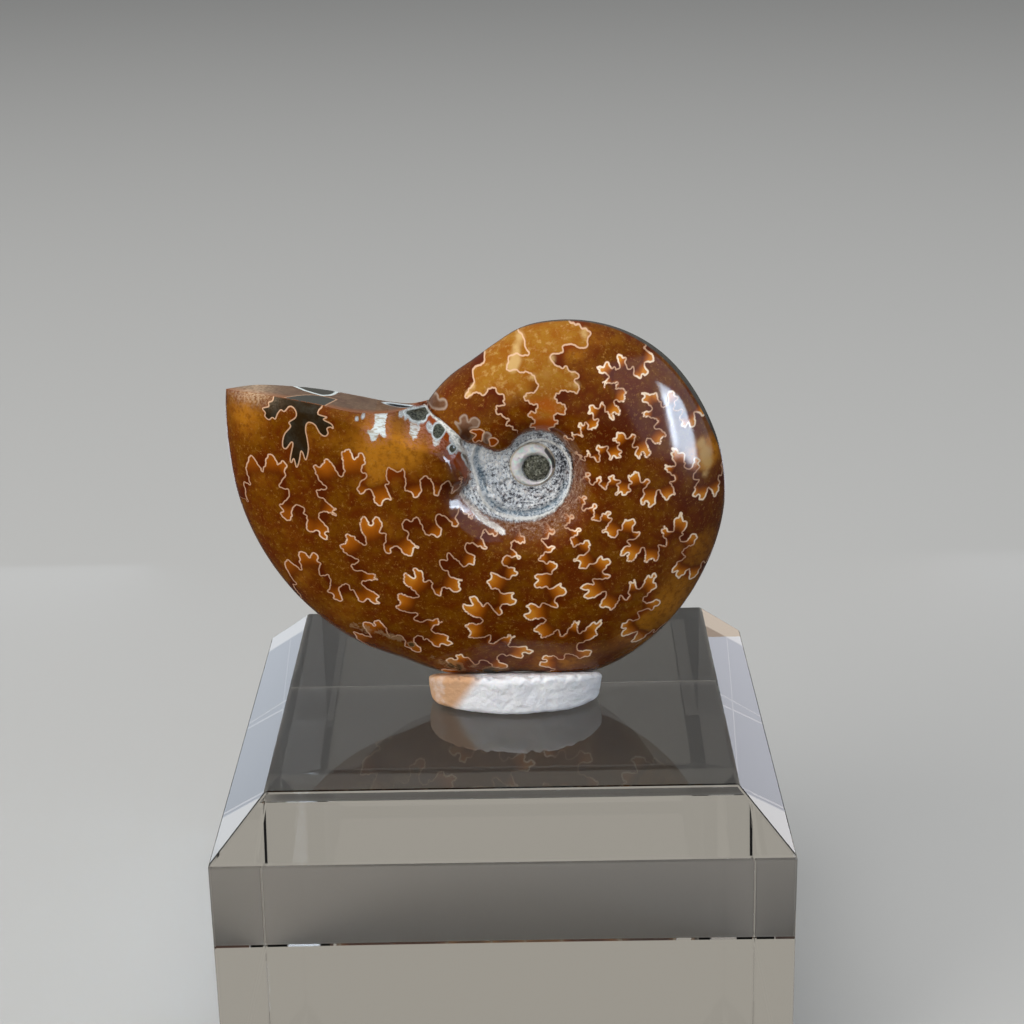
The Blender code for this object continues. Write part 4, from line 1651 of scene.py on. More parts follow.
@dataclass
class SuturePattern:
    """The suture lines and the chambers between them."""

    raster_step: float = 0.08
    glow_reach: float = 0.75
    crinkle: float = 0.075
    # the embers' strength on the first sutures behind the mouth, where the last value goes on
    fading: tuple = (0.64, 0.74, 0.9, 1.0)
    ember_width: float = 1.2
    paths: list = field(default_factory=list)

    def __post_init__(self) -> None:
        """Lay all the sutures and sample them closely."""
        self.paths = [suture_path(suture) for suture in SUTURES]
        self.paths += [rounded_line(line, 5) for line in PALE_SUTURES]
        self.paths = [crinkled(path, self.crinkle, seed) for seed, path in enumerate(self.paths)]
        lines = [resampled(path, 0.03) for path in self.paths]
        self.samples = np.vstack(lines)
        self.along = np.vstack([np.gradient(line, axis=0) for line in lines])
        self.owner = np.concatenate([np.full(len(line), i) for i, line in enumerate(lines)])
        self.tree = tree_of(self.samples)

    def chamber_loop(self, first: int, last: int) -> Array:
        """The closed line round the chambers between two sutures, drawn on past the venter.

        Args:
            first: the first suture's number.
            last: the second's.

        Returns:
            The line's points.
        """
        ends = []
        for index in (first, last):
            path = self.paths[index]
            ends.append(np.vstack([(0, 0), path, path[-1] * 2]))
        return np.vstack([ends[0], ends[1][::-1]])

    @staticmethod
    def filled(loops: Sequence[Array], columns: Array, rows: Array) -> Array:
        """Which places of a raster lie inside an odd number of closed lines.

        Args:
            loops: the closed lines.
            columns: the u of the raster's columns.
            rows: the w of its rows.

        Returns:
            True for each place inside, by row and column.
        """
        starts = np.vstack(loops)
        ends = np.vstack([np.roll(loop, -1, 0) for loop in loops])
        image = np.zeros((len(rows), len(columns)), bool)
        for i, w in enumerate(rows):
            hit = (starts[:, 1] > w) != (ends[:, 1] > w)
            (u0, w0), (u1, w1) = starts[hit].T, ends[hit].T
            crossings = np.sort(u0 + (w - w0) * (u1 - u0) / (w1 - w0))
            image[i] = np.searchsorted(crossings, columns) % 2 == 1
        return image

    def measure(self, places: Array, edge: Array) -> dict[str, Array]:
        """Measure the pattern at places.

        Args:
            places: the (u, w) places.
            edge: the shell's outline.

        Returns:
            suture_line, the distance to the nearest suture, positive in every second chamber;
            suture_glow, how much of the stone round about belongs to those chambers, from -1 to 1;
            ember, how strongly the stone glows at the end of a lobe or saddle; and pale_suture, 1 along
            the sutures of the calcite chambers.
        """
        low, high = edge.min(0) - 1, edge.max(0) + 1
        columns = np.arange(low[0], high[0], self.raster_step)
        rows = np.arange(low[1], high[1], self.raster_step)
        pairs = [(i, i + 1) for i in range(0, len(self.paths) - 1, 2)]
        loops = [self.chamber_loop(first, last) for first, last in pairs]
        last = self.paths[-1]
        behind = in_plane(np.array((-66.0, -66.0)), np.array((0.5, 40.0)))
        loops.append(np.vstack([(0, 0), last, last[-1] * 2, behind[::-1]]))
        odd = self.filled(loops, columns, rows)
        body = self.filled([edge], columns, rows)
        spread = self.spread(np.where(odd, 1.0, -1.0) * body) / np.maximum(self.spread(body * 1.0), 1e-3)

        column = np.clip((places[:, 0] - low[0]) / self.raster_step, 0, len(columns) - 1.001)
        row = np.clip((places[:, 1] - low[1]) / self.raster_step, 0, len(rows) - 1.001)
        i, j = row.astype(int), column.astype(int)
        fi, fj = row - i, column - j
        glow = (spread[i, j] * (1 - fj) + spread[i, j + 1] * fj) * (1 - fi)
        glow += (spread[i + 1, j] * (1 - fj) + spread[i + 1, j + 1] * fj) * fi
        inside = odd[(row + 0.5).astype(int).clip(0, len(rows) - 1), (column + 0.5).astype(int)]

        distance, side = self.nearest(places)
        by_hand = np.where(side * np.where(self.last_owner % 2 == 0, 1, -1) > 0, 1.0, -1.0)
        sign = np.where(distance < 0.16, by_hand, np.where(inside, 1.0, -1.0))
        line = np.where(distance < 0.012, 0.0, sign * distance)
        pale = np.where(self.last_owner >= len(SUTURES), 1.0, 0.0)
        ember = self.embers(places, line)
        return {"suture_line": line, "suture_glow": glow, "ember": ember, "pale_suture": pale}

    def embers(self, places: Array, line: Array) -> Array:
        """How strongly places glow, each only on the inner side of a lobe's or saddle's end.

        Args:
            places: the (u, w) places.
            line: their signed distances to the sutures.

        Returns:
            The glow, 0 to about 1.
        """
        glow = np.zeros(len(places))
        for index, suture in enumerate(SUTURES):
            for share, reach, radius, near_mouth, farther in EMBERS:
                strength = (near_mouth if index < 3 else farther) * self.fading[min(index, 3)]
                centre, width = laid_across(suture, np.array([share]), np.array([reach]))
                gap = np.hypot(*(places - centre[0]).T) / (self.ember_width * radius * width)
                even = (index if reach > 0 else index - 1) % 2 == 0
                own = np.where(line == 0, 1.0, (line > 0) == even)
                glow = np.maximum(glow, strength * np.exp(-(gap**2)) * own)
        return glow

    def spread(self, image: Array) -> Array:
        """Blur a raster.

        Args:
            image: the raster.

        Returns:
            The blurred raster.
        """
        reach = self.glow_reach / self.raster_step
        down = np.exp(-2 * (np.pi * reach * np.fft.fftfreq(image.shape[0])) ** 2)[:, None]
        across = np.exp(-2 * (np.pi * reach * np.fft.rfftfreq(image.shape[1])) ** 2)[None, :]
        return np.fft.irfft2(np.fft.rfft2(image) * down * across, s=image.shape)

    def nearest(self, places: Array) -> tuple[Array, Array]:
        """The distance to the nearest suture, and the side of it: positive towards smaller growth.

        Args:
            places: places in the shell's plane.

        Returns:
            The distances and the sides.
        """
        index, distance = nearest_in(self.tree, places)
        gap = places - self.samples[index]
        along = self.along[index]
        self.last_owner = self.owner[index]
        return distance, along[:, 0] * gap[:, 1] - along[:, 1] * gap[:, 0]


@dataclass
class AmmoniteHalf:
    """The polished half shell: its domed front, ground mouth, thin rim and sawn back."""

    axis: Vector
    cut_face: float
    relief: Relief = field(default_factory=Relief)
    pattern: SuturePattern = field(default_factory=SuturePattern)
    scale: float = 0.987
    rim_height: float = 0.12
    wall_rows: int = 34
    edge: Array = field(default_factory=outline)
    mouth_edge: Array = field(default_factory=lambda: resampled(mouth_line(), 0.14))

    def build(self) -> bpy.types.Object:
        """Build the whole piece and hand it over.

        Returns:
            The finished piece.
        """
        parts = [self.front(), self.mouth(), self.rim(), self.back()]
        places = np.vstack([corners for corners, _ in parts])
        starts = [0, *np.cumsum([len(corners) for corners, _ in parts[:3]])]
        faces = [row for (_, rows), start in zip(parts, starts) for row in (rows + start).tolist()]
        mesh = bpy.data.meshes.new("ammonite_half_shell")
        origin = np.array((self.axis.x, self.cut_face, self.axis.z))
        mesh.from_pydata((places * self.scale * MM + origin).tolist(), [], faces)
        self.write_numbers(mesh, places, starts)
        sizes = [len(rows) for _, rows in parts]
        for finish in (PolishedStone(), SawnStone()):
            mesh.materials.append(finish.make())
        mesh.polygons.foreach_set("material_index", np.repeat((0, 0, 0, 1), sizes).astype(np.int32))
        self.lay_out(mesh, places, sizes)
        shell = bpy.data.objects.new("ammonite_half_shell", mesh)
        bpy.context.scene.collection.objects.link(shell)
        self.smooth(shell, len(places))
        hand_over(shell, "ammonite_half")
        return shell

    def front_points(self) -> Array:
        """Choose points over the front, closest together where lines are drawn.

        Returns:
            The points.
        """
        groups = []
        lines = [resampled(path, 0.09) for path in self.pattern.paths]
        groups.append((np.vstack(lines), 0.06))
        for offset, spacing in ((0.1, 0.085), (0.24, 0.11), (0.42, 0.17)):
            groups.append((both_sides(lines, offset), spacing))
        leaves = [rounded_line(leaf, 5, closed=True) for shapes in LEAVES.values() for leaf in shapes]
        shapes = [resampled(leaf, 0.09, closed=True) for leaf in leaves]
        shapes += [resampled(rounded_line(line, 5), 0.09) for line in (SEAM, CRACK)]
        groups.append((np.vstack(shapes), 0.06))
        for offset in (0.1, 0.22):
            groups.append((both_sides(shapes, offset), 0.09))
        mouth = resampled(mouth_line(), 0.16)
        turn = np.radians((10, 25, 40, 55, 70, 88))
        rows = [beside(mouth, -0.6 * (1 - math.cos(t))) for t in turn]
        groups.append((np.vstack(rows), 0.03))
        growth = np.linspace(-60, 284, 560)
        outer = smooth_curve(VENTER, growth)
        for depth in (0.02, 0.06, 0.12, 0.2, 0.32, 0.48, 0.7, 1.0, 1.4):
            groups.append((in_plane(growth, outer - depth), 0.02))
        polar = [
            in_plane(np.linspace(0, 360, int(radius * 50) + 6)[:-1], np.array(radius))
            for radius in np.arange(0.08, 4.2, 0.125)
        ]
        groups.append((np.vstack(polar), 0.09))
        groups.append((hexagonal(self.edge.min(0), self.edge.max(0), 0.38), 0.3))
        hub = hexagonal(np.array((-13.0, -6.5)), np.array((4.5, 7.5)), 0.15)
        near_crust = distance_to(self.relief.crust, hub, closed=True) > -1.6
        groups.append((hub[near_crust | (distance_to(self.relief.seam, hub) < 1.9)], 0.115))
        points = thinned(groups)
        return points[distance_to(self.edge, points, closed=True) > 0.012]

    def front(self) -> tuple[Array, Array]:
        """Mesh the domed front: its corners in millimetres and its faces."""
        self.front_plane, faces = triangulated(self.edge, self.front_points())
        return at_depth(self.front_plane, -self.heights(self.front_plane)), faces

    def heights(self, points: Array) -> Array:
        """How high the front stands over places, with its edge never lower than the rim."""
        return np.maximum(self.relief.height(points), self.rim_height)

    def mouth(self) -> tuple[Array, Array]:
        """Mesh the ground mouth, from the front's edge down to the cut face.

        Returns:
            The places and the faces.
        """
        line = self.mouth_edge
        depth = -self.heights(line) * (1 - np.linspace(0, 1, self.wall_rows)[:, None])
        u, w = np.broadcast_to(line.T[:, None], (2, *depth.shape))
        corners = np.stack([u, depth, w - 0.35 * ease(self.pit_distance(u, depth) / 0.3)], -1)
        index = np.arange(self.wall_rows * len(line)).reshape(self.wall_rows, len(line))
        a, b, c, d = index[:-1, :-1], index[:-1, 1:], index[1:, 1:], index[1:, :-1]
        faces = np.stack([a, d, c, b], -1).reshape(-1, 4)
        return corners.reshape(-1, 3), faces[:, ::-1]

    @staticmethod
    def pit_distance(u: Array, depth: Array) -> Array:
        """How far inside the pit in the mouth places are, along the mouth and in depth."""
        along, across = (u + 12.65) / 1.35, (depth + 0.85 + 0.12 * (u + 12.65)) / 0.5
        return (1 - np.hypot(along, across)) * 0.5

    def rim(self) -> tuple[Array, Array]:
        """Mesh the thin rim along the venter, from the front's edge down to the cut face.

        Returns:
            The places and the faces.
        """
        count = len(self.edge) - len(self.mouth_edge) + 2
        line = self.edge[:count]
        start = np.arange(count - 1)
        faces = np.stack([start, start + 1, start + 1 + count, start + count], 1)
        return np.vstack([at_depth(line, -self.heights(line)), at_depth(line, 0)]), faces[:, ::-1]

    def back(self) -> tuple[Array, Array]:
        """Mesh the flat cut face, close together along the walls that it shows.

        Returns:
            The places and the faces.
        """
        self.sawn = SawnFace()
        walls = [resampled(line, 0.14) for line in self.sawn.lines]
        wide = hexagonal(self.edge.min(0), self.edge.max(0), 0.42)
        points = thinned([(self.sawn.samples[::3], 0.07), (both_sides(walls, 0.12), 0.1), (wide, 0.3)])
        points = points[distance_to(self.edge, points, closed=True) > 0.04]
        plane, faces = triangulated(self.edge, points)
        return at_depth(plane, 0), faces[:, ::-1]

    def write_numbers(self, mesh: bpy.types.Mesh, places: Array, starts: Sequence[int]) -> None:
        """Write what the stone's finishes read: distances to lines and how strong each patch is.

        Args:
            mesh: the whole stone's mesh.
            places: its corners, in millimetres.
            starts: where the corners of the front, the mouth, the rim and the back start.
        """
        _, mouth_start, rim_start, back_start = starts
        plane = places[:, (0, 2)]
        front, depth = plane[:back_start], places[:back_start, 1]
        on_mouth = (np.arange(back_start) >= mouth_start) & (np.arange(back_start) < rim_start)
        numbers = self.pattern.measure(front, self.edge)
        numbers.update({name: blobs(front, patches) for name, patches in PATCHES.items()})
        for name, outlines in LEAVES.items():
            rounded = [rounded_line(shape, 5, closed=True) for shape in outlines]
            numbers[name] = np.max([distance_to(shape, front, closed=True) for shape in rounded], axis=0)
        numbers.update(self.calcite_numbers(front))
        numbers.update(self.seam_numbers(front))
        numbers.update(self.umbilicus_numbers(front))
        numbers.update(self.mouth_numbers(front, depth, on_mouth))
        for name, values in numbers.items():
            write_number(mesh, name, np.concatenate([values, np.zeros(len(places) - back_start)]))
        for name, values in self.sawn.measure(plane[back_start:]).items():
            write_number(mesh, name, np.concatenate([np.zeros(back_start), values]))

    def calcite_numbers(self, front: Array) -> dict[str, Array]:
        """Where the pale calcite lies, how high up the flank it is, and where the painted shade along the
        venter's rim shows.

        Args:
            front: places on the front.

        Returns:
            The numbers by name.
        """
        growth, radius = self.relief.growth_of(front)
        inner, outer = smooth_curve(SHOULDER, growth), smooth_curve(VENTER, growth)
        cloud = 0.12 * grain(front, 1.1, 21) + 0.06 * grain(front, 0.5, 22)
        rise = (radius - inner) / (outer - inner) + cloud
        first = len(SUTURES)
        later = within(self.pattern.chamber_loop(first + 1, first + 2), front)
        # how far the painted shade along the venter's rim reaches in
        side = smooth_curve(RIM_SHADE_WIDTHS, growth)
        return {
            "calcite_edge": self.loop_distance(self.pattern.chamber_loop(first, first + 2), front),
            "calcite": np.where(later, 0.95 * ease((rise - 0.36) / 0.26), 0.95),
            "calcite_rise": rise,
            "painted_rim_shade": np.where(growth > 100, -FAR, side - (outer - radius)),
        }

    def seam_numbers(self, front: Array) -> dict[str, Array]:
        """The distances to the crust's margin, the seam and the crack, and the dust and wear round them.

        Args:
            front: places on the front.

        Returns:
            The numbers by name.
        """
        growth, radius = self.relief.growth_of(front)
        crust = distance_to(self.relief.crust, front, closed=True)
        from_seam = distance_to(rounded_line(SEAM, 5), front)
        reach = np.clip(1 - from_seam / 1.7, 0, 1)
        dust = np.where(crust < 0, ease(1 + crust / smooth_curve(DUST_WIDTHS, growth)), 1)
        return {
            "crust": crust,
            "seam": from_seam - smooth_curve(SEAM_WIDTHS, front[:, 1]),
            "crack": distance_to(self.relief.crack, front),
            "strip": np.where((growth > 180) & (radius > 7.2), ease(reach * 1.6), 0),
            "dust": dust,
            "suture_wear": 1 - 0.85 * dust * (growth < 250),
        }

    @staticmethod
    def umbilicus_numbers(front: Array) -> dict[str, Array]:
        """The distances to the ridge, the nacre, its core and slit, and a grid that winds with the whorl.

        Args:
            front: places on the front.

        Returns:
            The numbers by name.
        """
        radius = np.hypot(*front.T)
        turn = np.degrees(np.arctan2(front[:, 0], front[:, 1])) % 360
        turn = np.where(turn > 316, turn - 360, turn)
        ridge_radius = smooth_curve(RIDGE, turn)
        ridge = radius - ridge_radius
        rim, hollow = (reach - np.hypot(*(front - centre).T) for centre, reach in (NACRE, CORE))
        return {
            "ridge": np.abs(ridge) + np.where(radius < 2.2, 2, 0),
            "blue_margin": np.exp(-(((ridge + 0.42) / 0.34) ** 2)) * ease((turn - 100) / 60),
            "whorl_along": np.radians(turn) * 3.4,
            "whorl_across": (radius - 2) / np.clip(ridge_radius - 2, 0.4, None) * 2.6,
            "nacre_rim": rim,
            "core": hollow,
            "nacre": np.minimum(rim, -hollow),
            "slit": distance_to(rounded_line(SLIT, 5), front),
        }

    def mouth_numbers(self, front: Array, depth: Array, on_mouth: Array) -> dict[str, Array]:
        """What the ground mouth shows.

        Args:
            front: the (u, w) places.
            depth: their depths.
            on_mouth: which of them are on the mouth.

        Returns:
            mouth, above 0.5 on it and less than that the farther a place is on the flank; the distances to
            its leaves, its pale line and its pit; and how strong the painted highlight near its tip is.
        """
        under_edge = depth + self.heights(front)
        from_edge = distance_to(mouth_line(), front)
        at_mouth = np.stack([front[:, 0], depth], 1)
        slate, sliver = (distance_to(np.array(shape), at_mouth, closed=True) for shape in MOUTH_LEAVES)
        past = np.where(on_mouth, np.minimum(under_edge, 3), -np.minimum(from_edge, 1))
        away = np.where(on_mouth, np.maximum(under_edge - 2.2, 0) / 1.6, from_edge / 0.9)
        return {
            "mouth": 0.5 + past / 0.4,
            "mouth_leaf": np.where(on_mouth, np.maximum(slate, sliver), -FAR),
            "mouth_line": np.where(on_mouth, distance_to(np.array(MOUTH_LEAVES[1][1:]), at_mouth), FAR),
            "mouth_pit": np.where(on_mouth, self.pit_distance(front[:, 0], depth), -FAR),
            # how strong the painted highlight near the mouth's tip is
            "painted_tip_highlight": np.exp(-(((front[:, 0] + 26.0) / 1.9) ** 2) - away**2),
        }

    @staticmethod
    def loop_distance(loop: Array, places: Array) -> Array:
        """How far inside a long closed line places are, from its close samples."""
        distance = nearest_in(tree_of(resampled(loop, 0.06)), places)[1]
        return np.where(within(loop, places), distance, -distance)

    @staticmethod
    def lay_out(mesh: bpy.types.Mesh, places: Array, sizes: Sequence[int]) -> None:
        """Lay the faces out flat in a map of their own, the front largest.

        Args:
            mesh: the shell's mesh.
            places: its vertices' places in millimetres.
            sizes: how many faces each part has.
        """
        layer = mesh.uv_layers.new(name="OFBake")
        corner, totals = fetched(mesh.loops, "vertex_index"), fetched(mesh.polygons, "loop_total")
        part = np.repeat(np.repeat(np.arange(4), sizes), totals)
        u, depth, w = places[corner].T
        front = np.stack([(u + 30) / 61, (w + 24) / 61], 1)
        mouth = np.stack([0.8 - depth / 61, (u + 30) / 61], 1)
        rim = np.stack([0.93 + depth / 61, (np.degrees(np.arctan2(u, w)) + 180) / 400], 1)
        back = np.stack([(u + 30) / 92, 0.61 + (w + 24) / 95], 1)
        chosen = np.choose(part[:, None], [front, mouth, rim, back])
        layer.data.foreach_set("uv", chosen.astype(np.float32).ravel())

    def smooth(self, shell: bpy.types.Object, count: int) -> None:
        """Close the seams between the parts and give the front its true facing.

        Args:
            shell: the shell.
            count: how many corners all the parts have together.
        """
        mesh = shell.data
        facing = np.zeros((count, 3), np.float32)
        facing[: len(self.front_plane)] = self.relief.normals(self.front_plane)
        mesh.attributes.new("facing", "FLOAT_VECTOR", "POINT").data.foreach_set("vector", facing.ravel())
        make_active(shell)
        bpy.ops.object.mode_set(mode="EDIT")
        bpy.ops.mesh.select_all(action="SELECT")
        bpy.ops.mesh.remove_doubles(threshold=0.000001)
        bpy.ops.object.mode_set(mode="OBJECT")
        mesh.shade_smooth()
        mesh.set_sharp_from_angle(angle=math.radians(50))
        kept = fetched(mesh.attributes["facing"].data, "vector", 3)
        corner, totals = fetched(mesh.loops, "vertex_index"), fetched(mesh.polygons, "loop_total")
        slots = fetched(mesh.polygons, "material_index")
        front = np.repeat((totals == 3) & (slots == 0), totals)
        normals = np.where(front[:, None], kept[corner], 0)
        mesh.normals_split_custom_set(normals.tolist())
        mesh.attributes.remove(mesh.attributes["facing"])


class SawnFace:
    """What the saw laid open: the whorls' walls, the septa between the chambers, and their fillings."""

    turn_ratio: float = 2.5

    def __init__(self) -> None:
        """Draw the walls of all the turns and the septa across them."""
        self.lines: list[Array] = []
        self.venters()
        self.septa()
        self.samples = np.vstack([resampled(line, 0.04) for line in self.lines])
        self.tree = tree_of(self.samples)

    def venter(self, growth: Array) -> Array:
        """The radius of the venter at any growth angle, back to the first turns.

        Args:
            growth: growth angles.

        Returns:
            The radii.
        """
        growth = np.asarray(growth, float)
        turns = np.where(growth < -60, np.ceil((-60 - growth) / 360), 0)
        return smooth_curve(VENTER, growth + 360 * turns) / self.turn_ratio**turns

    def venters(self) -> None:
        """Draw the wall of each turn where it winds under the next, just inside the outline."""
        growth = np.linspace(-1300, 284, 2600)
        radius = self.venter(growth)
        # where the turns follow on from each other the two radii are blended
        kernel = np.hanning(41)
        smooth = np.convolve(radius, kernel / kernel.sum(), "same")
        radius[30:-30] = smooth[30:-30]
        under = growth < -60
        self.lines.append(in_plane(growth[under], radius[under]))
        inset = growth > -60
        self.lines.append(in_plane(growth[inset], radius[inset] - 0.28))

    def septa(self) -> None:
        """Draw the septa: hollow towards the mouth, closer together in the earlier turns."""
        starts = [suture.growth - 4 for suture in SUTURES]
        while starts[-1] > -1150:
            starts.append(starts[-1] - 23.5)
        self.starts = np.array(starts)
        for n, growth in enumerate(starts):
            outer = float(self.venter(growth)) - (0.28 if growth > -60 else 0)
            inner = float(self.venter(growth - 360))
            share = np.linspace(0, 1, 26)
            wave = 0.35 * np.sin(5 * np.pi * share + n) * np.sin(np.pi * share)
            bow = -7.5 * np.sin(np.pi * share) - 6 * share + wave * 2.2
            self.lines.append(in_plane(growth + bow, inner + (outer - inner) * share))

    def measure(self, places: Array) -> dict[str, Array]:
        """Measure the cut face.

        Args:
            places: the (u, w) places.

        Returns:
            wall, the distance to the nearest wall; fill, what each chamber is filled with, from 0 to 1; and
            mud, above 0 where the last chamber is filled with hardened mud.
        """
        wall = nearest_in(self.tree, places)[1]
        radius = np.maximum(np.hypot(*places.T), 0.05)
        growth = np.degrees(np.arctan2(places[:, 0], places[:, 1])) % 360
        growth = np.where(growth > 300, growth - 360, growth)
        for _ in range(5):
            growth = np.where((radius < self.venter(growth - 360)), growth - 360, growth)
        inner, outer = self.venter(growth - 360), self.venter(growth)
        share = np.clip((radius - inner) / np.maximum(outer - inner, 1e-3), 0, 1)
        bow = -7.5 * np.sin(np.pi * share) - 6 * share
        number = np.searchsorted(-self.starts, -(growth - bow))
        value = np.sin(number * 12.9898 + 4.1) * 43758.5453
        fill = 0.25 + 0.6 * (value - np.floor(value))
        return {"wall": wall, "fill": fill, "mud": growth - bow - self.starts[0]}


# ---- The stand ----


@dataclass
class DisplayBlock:
    """The clear block under the fossil."""

    low: Vector
    high: Vector
    bevel: float = 4.7 * MM
    edge_round: float = 0.22 * MM

    def build(self) -> bpy.types.Object:
        """Cut the block from a cube and hand it over.

        Returns:
            The finished piece.
        """
        deselect_all()
        size = self.high - self.low
        bpy.ops.mesh.primitive_cube_add(size=1, calc_uvs=False, location=(self.low + self.high) / 2)
        block = bpy.context.object
        block.name = block.data.name = "clear_block"
        block.scale = size
        settle(block)
        bpy.ops.object.mode_set(mode="EDIT")
        bpy.ops.mesh.select_mode(type="EDGE")
        bpy.ops.mesh.select_all(action="DESELECT")
        bpy.ops.object.mode_set(mode="OBJECT")
        corners = block.data.vertices
        for edge in block.data.edges:
            edge.select = all(corners[i].co.z > self.high.z - 1e-5 for i in edge.vertices)
        bpy.ops.object.mode_set(mode="EDIT")
        bpy.ops.mesh.bevel(offset=self.bevel, segments=1, affect="EDGES")
        bpy.ops.object.mode_set(mode="OBJECT")
        round_edges(block, "polished_edges", self.edge_round, segments=2, angle=20)
        block.data.materials.append(ClearAcrylic().make())
        for face in block.data.polygons:
            face.use_smooth = False
        hand_over(block, "display_block")
        return block


@dataclass
class PuttyPad:
    """The putty between the block and the fossil: an oval pad whose top rises to a lip at the front."""

    low: Vector
    high: Vector
    gap: float = 0.03 * MM
    slope: float = 0.33
    foot: float = 0.955
    rim_round: float = 0.55 * MM
    grain: float = 0.14 * MM

    def build(self) -> bpy.types.Object:
        """Knead the pad from a cone and hand it over.

        Returns:
            The finished piece.
        """
        deselect_all()
        bottom = self.low.z - 0.3 * MM + self.gap
        front = self.low.y - 0.1 * MM
        width, depth = self.high.x - self.low.x + 0.2 * MM, self.high.y - front
        size = Vector((width, depth, self.high.z + 0.12 * MM - bottom))
        middle = Vector(((self.low.x + self.high.x) / 2, (self.high.y + front) / 2, bottom + size.z / 2))
        bpy.ops.mesh.primitive_cone_add(
            vertices=96, radius1=0.5 * self.foot, radius2=0.5, depth=1, location=middle
        )
        pad = bpy.context.object
        pad.name = pad.data.name = "putty_lump"
        pad.scale = size
        settle(pad)
        for corner in pad.data.vertices:
            if corner.co.z > middle.z:
                corner.co.z -= self.slope * (corner.co.y - front)
        round_edges(pad, "pressed_rims", self.rim_round, segments=4, angle=40)
        remesh = pad.modifiers.new("even_faces", "REMESH")
        remesh.mode = "VOXEL"
        remesh.voxel_size = self.grain
        apply_modifiers(pad)
        self.knead(pad, bottom)
        pad.data.materials.append(WhitePutty().make())
        pad.data.shade_smooth()
        hand_over(pad, "putty_pad")
        return pad

    @staticmethod
    def knead(pad: bpy.types.Object, bottom: float) -> None:
        """Push the surface in and out: broad finger dents, fine wrinkles and small nicks along the lip.

        Args:
            pad: the pad.
            bottom: the height of its underside in metres.
        """
        mesh = pad.data
        points, facing = (fetched(mesh.vertices, name, 3).astype(float) for name in ("co", "normal"))
        x, y, z = (points / MM).T
        rise = z - bottom / MM
        around = np.stack([np.degrees(np.arctan2(y + 1.7, x - 1.2)) / 11, z * 1.1], 1)
        push = 0.07 * grain(around, 1.3, 5) + 0.035 * grain(around, 0.5, 6) + 0.02 * grain(around, 0.2, 7)
        points = points + facing * ((push - 0.05) * MM)[:, None]
        nicks = 0.3 * grain(np.stack([x, y], 1), 0.55, 8) * ease((rise - 2.4) / 1.2)
        points[:, 2] += np.minimum(nicks, 0.05) * MM
        points[:, 2] = np.maximum(points[:, 2], bottom)
        mesh.vertices.foreach_set("co", points.ravel())
        # tan, stronger towards the pad's upper left end and higher up
        write_number(mesh, "left_tan", ease((-3.9 + 0.62 * rise - x) / 1.5))
        mesh.update()


# ---- The studio ----


# What the window's lamps look at, on the fossil's right flank.
FLANK = (0.016, 0, 0.058)


@dataclass(frozen=True)
class Lamp:
    """One soft rectangular lamp, by where it stands and what it looks at, in metres."""

    name: str
    stand: Colour
    aim: Colour
    size: tuple[float, float]
    power: float
    colour: Colour = (1.0, 1.0, 1.0)
    only_gloss: bool = True
    roll: float = 0.0


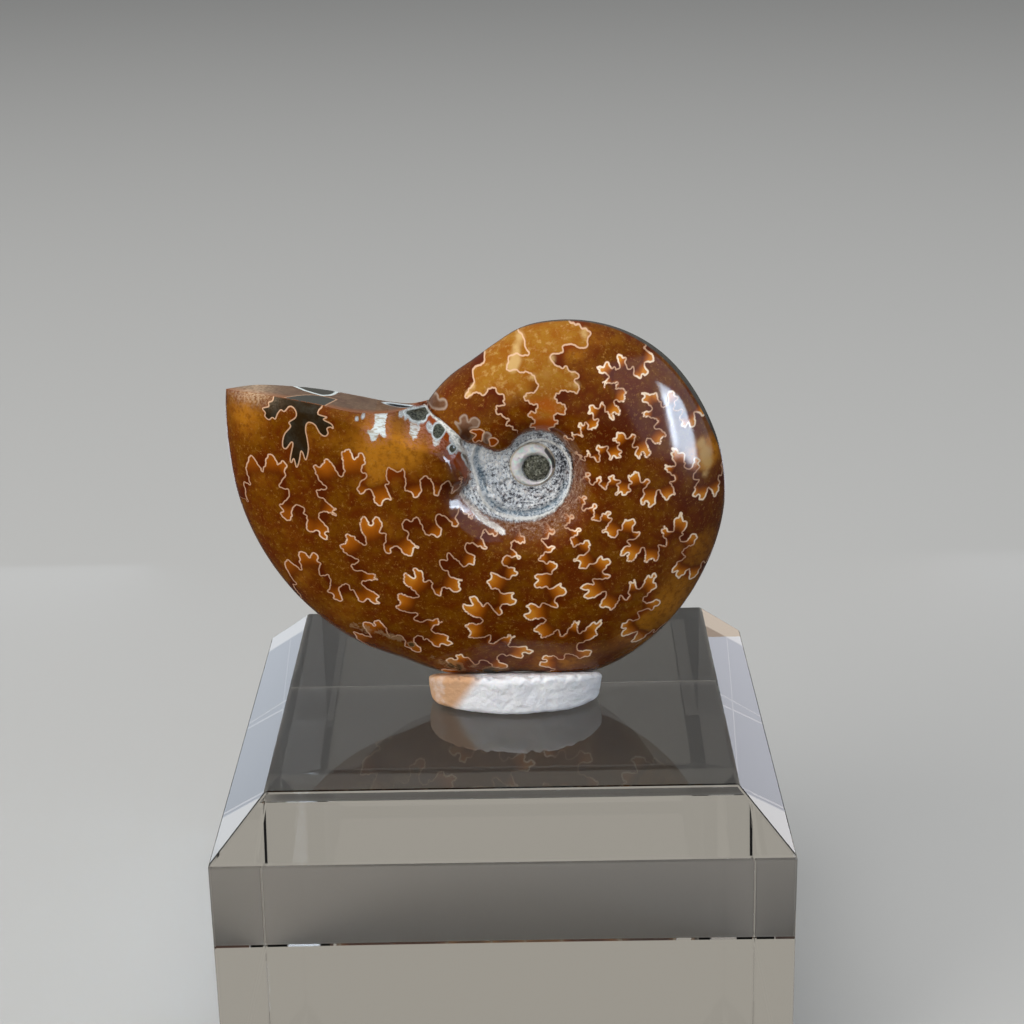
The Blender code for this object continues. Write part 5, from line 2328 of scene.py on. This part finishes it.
@dataclass
class Studio:
    """A pale floor, soft lamps and the camera."""

    block_width: float
    block_top: Vector
    focal_length: float = 74.64
    pitch: float = 19.39
    roll: float = -1.17
    yaw: float = -0.53
    camera_place: tuple[float, float, float] = (0.058, -3.694, 1.660)
    lamps: tuple[Lamp, ...] = (
        Lamp("overhead", (-0.1, -0.25, 0.9), (0, 0, 0.04), (1.0, 1.0), 8.2, only_gloss=False),
        Lamp("left_fill", (-0.8, -0.6, 0.35), (0, 0, 0.04), (0.7, 0.7), 6.6, (1.0, 0.97, 0.93), False),
        Lamp("window_wide", (0.54, -0.23, 0.153), FLANK, (0.2, 0.32), 5.2, (0.66, 0.82, 1.0), roll=-31),
        Lamp("window_slim", (0.50, -0.33, 0.153), FLANK, (0.03, 0.28), 1.0, (0.78, 0.88, 1.0), roll=-31),
        Lamp("pale_wall", (0.6, -0.26, 0.2), FLANK, (1.1, 0.9), 3.4, (0.75, 0.82, 1.0)),
        *(
            Lamp(name, (x, 0.12, z), (x, 0, z), size, power, colour)
            for name, x, z, size, power, colour in (
                ("left_card", -0.081, 0.0125, (0.05, 0.024), 0.0054, (0.82, 0.89, 1.0)),
                ("right_card", 0.0865, 0.0155, (0.041, 0.026), 0.005, (0.88, 0.9, 1.0)),
                ("peach_card", 0.062, 0.018, (0.009, 0.026), 0.0007, (1.0, 0.78, 0.62)),
            )
        ),
    )
    strength: float = 0.32
    sky: Colour = (0.80, 0.81, 0.82)
    sky_through: Colour = (1.06, 0.99, 0.86)

    def build(self) -> None:
        """Set up everything round the object."""
        self.floor()
        self.light()
        self.camera()

    @staticmethod
    def floor() -> None:
        """Lay the floor, a hair under the block."""
        deselect_all()
        bpy.ops.mesh.primitive_plane_add(size=8, location=(0, 2.0, -0.0003))
        floor = bpy.context.object
        floor.name = "studio_floor"
        settle(floor)
        floor.data.materials.append(PaleFloor().make())

    def light(self) -> None:
        """Hang the lamps and set the world's soft light."""
        for lamp in self.lamps:
            light = bpy.data.lights.new(lamp.name, "AREA")
            light.shape = "RECTANGLE"
            light.size, light.size_y = lamp.size
            light.energy = lamp.power
            light.color = lamp.colour
            holder = bpy.data.objects.new(lamp.name, light)
            holder.location = lamp.stand
            look = Vector(lamp.aim) - Vector(lamp.stand)
            holder.rotation_euler = look.to_track_quat("-Z", "Y").to_euler()
            holder.rotation_euler.rotate_axis("Z", math.radians(lamp.roll))
            holder.visible_diffuse, holder.visible_glossy = not lamp.only_gloss, lamp.only_gloss
            holder.visible_transmission = False
            bpy.context.scene.collection.objects.link(holder)
        world = bpy.data.worlds.new("soft_room")
        bpy.context.scene.world = world
        world.use_nodes = True
        tree = world.node_tree
        background = tree.nodes["Background"]
        background.inputs["Strength"].default_value = self.strength
        rays = tree.nodes.new("ShaderNodeLightPath").outputs
        sky = tree.nodes.new("ShaderNodeMix")
        sky.data_type = "RGBA"
        sky.inputs["A"].default_value = (*self.sky, 1.0)
        sky.inputs["B"].default_value = (*self.sky_through, 1.0)
        tree.links.new(rays["Is Transmission Ray"], sky.inputs["Factor"])
        tree.links.new(sky.outputs["Result"], background.inputs["Color"])

    def camera(self) -> None:
        """Stand the camera where the block and the fossil are seen from the front and a little above."""
        lens = bpy.data.cameras.new("camera")
        lens.lens = self.focal_length
        lens.sensor_width = 36
        lens.clip_start = 0.01
        lens.clip_end = 20
        holder = bpy.data.objects.new("camera", lens)
        holder.location = self.block_top + Vector(self.camera_place) * self.block_width
        pitch, roll, yaw = (math.radians(angle) for angle in (self.pitch, self.roll, self.yaw))
        forward = Vector((math.sin(yaw) * math.cos(pitch), math.cos(yaw) * math.cos(pitch), -math.sin(pitch)))
        right = Vector((math.cos(yaw), -math.sin(yaw), 0))
        up = right.cross(forward)
        turned_right = right * math.cos(roll) + up * math.sin(roll)
        turned_up = up * math.cos(roll) - right * math.sin(roll)
        axes = (turned_right, turned_up, -forward)
        holder.rotation_euler = Matrix(axes).transposed().to_euler()
        bpy.context.scene.collection.objects.link(holder)
        bpy.context.scene.camera = holder


def main() -> None:
    """Build the pieces in order and set the studio round them."""
    logging.basicConfig(level=logging.INFO, format="%(name)s: %(message)s")
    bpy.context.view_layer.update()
    block_low, block_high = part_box("display_block")
    _, half_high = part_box("ammonite_half")
    axis = Vector((3.6 * MM, 0, block_high.z + 23.8 * MM))
    block = DisplayBlock(block_low, block_high).build()
    PuttyPad(*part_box("putty_pad")).build()
    AmmoniteHalf(axis, half_high.y).build()
    top = Vector(((block_low.x + block_high.x) / 2, (block_low.y + block_high.y) / 2, block_high.z))
    Studio(block_high.x - block_low.x, top).build()
    LOG.info("block: %s", block.name)
    bpy.context.scene.view_settings.view_transform = "Standard"


if __name__ == "__main__":
    main()
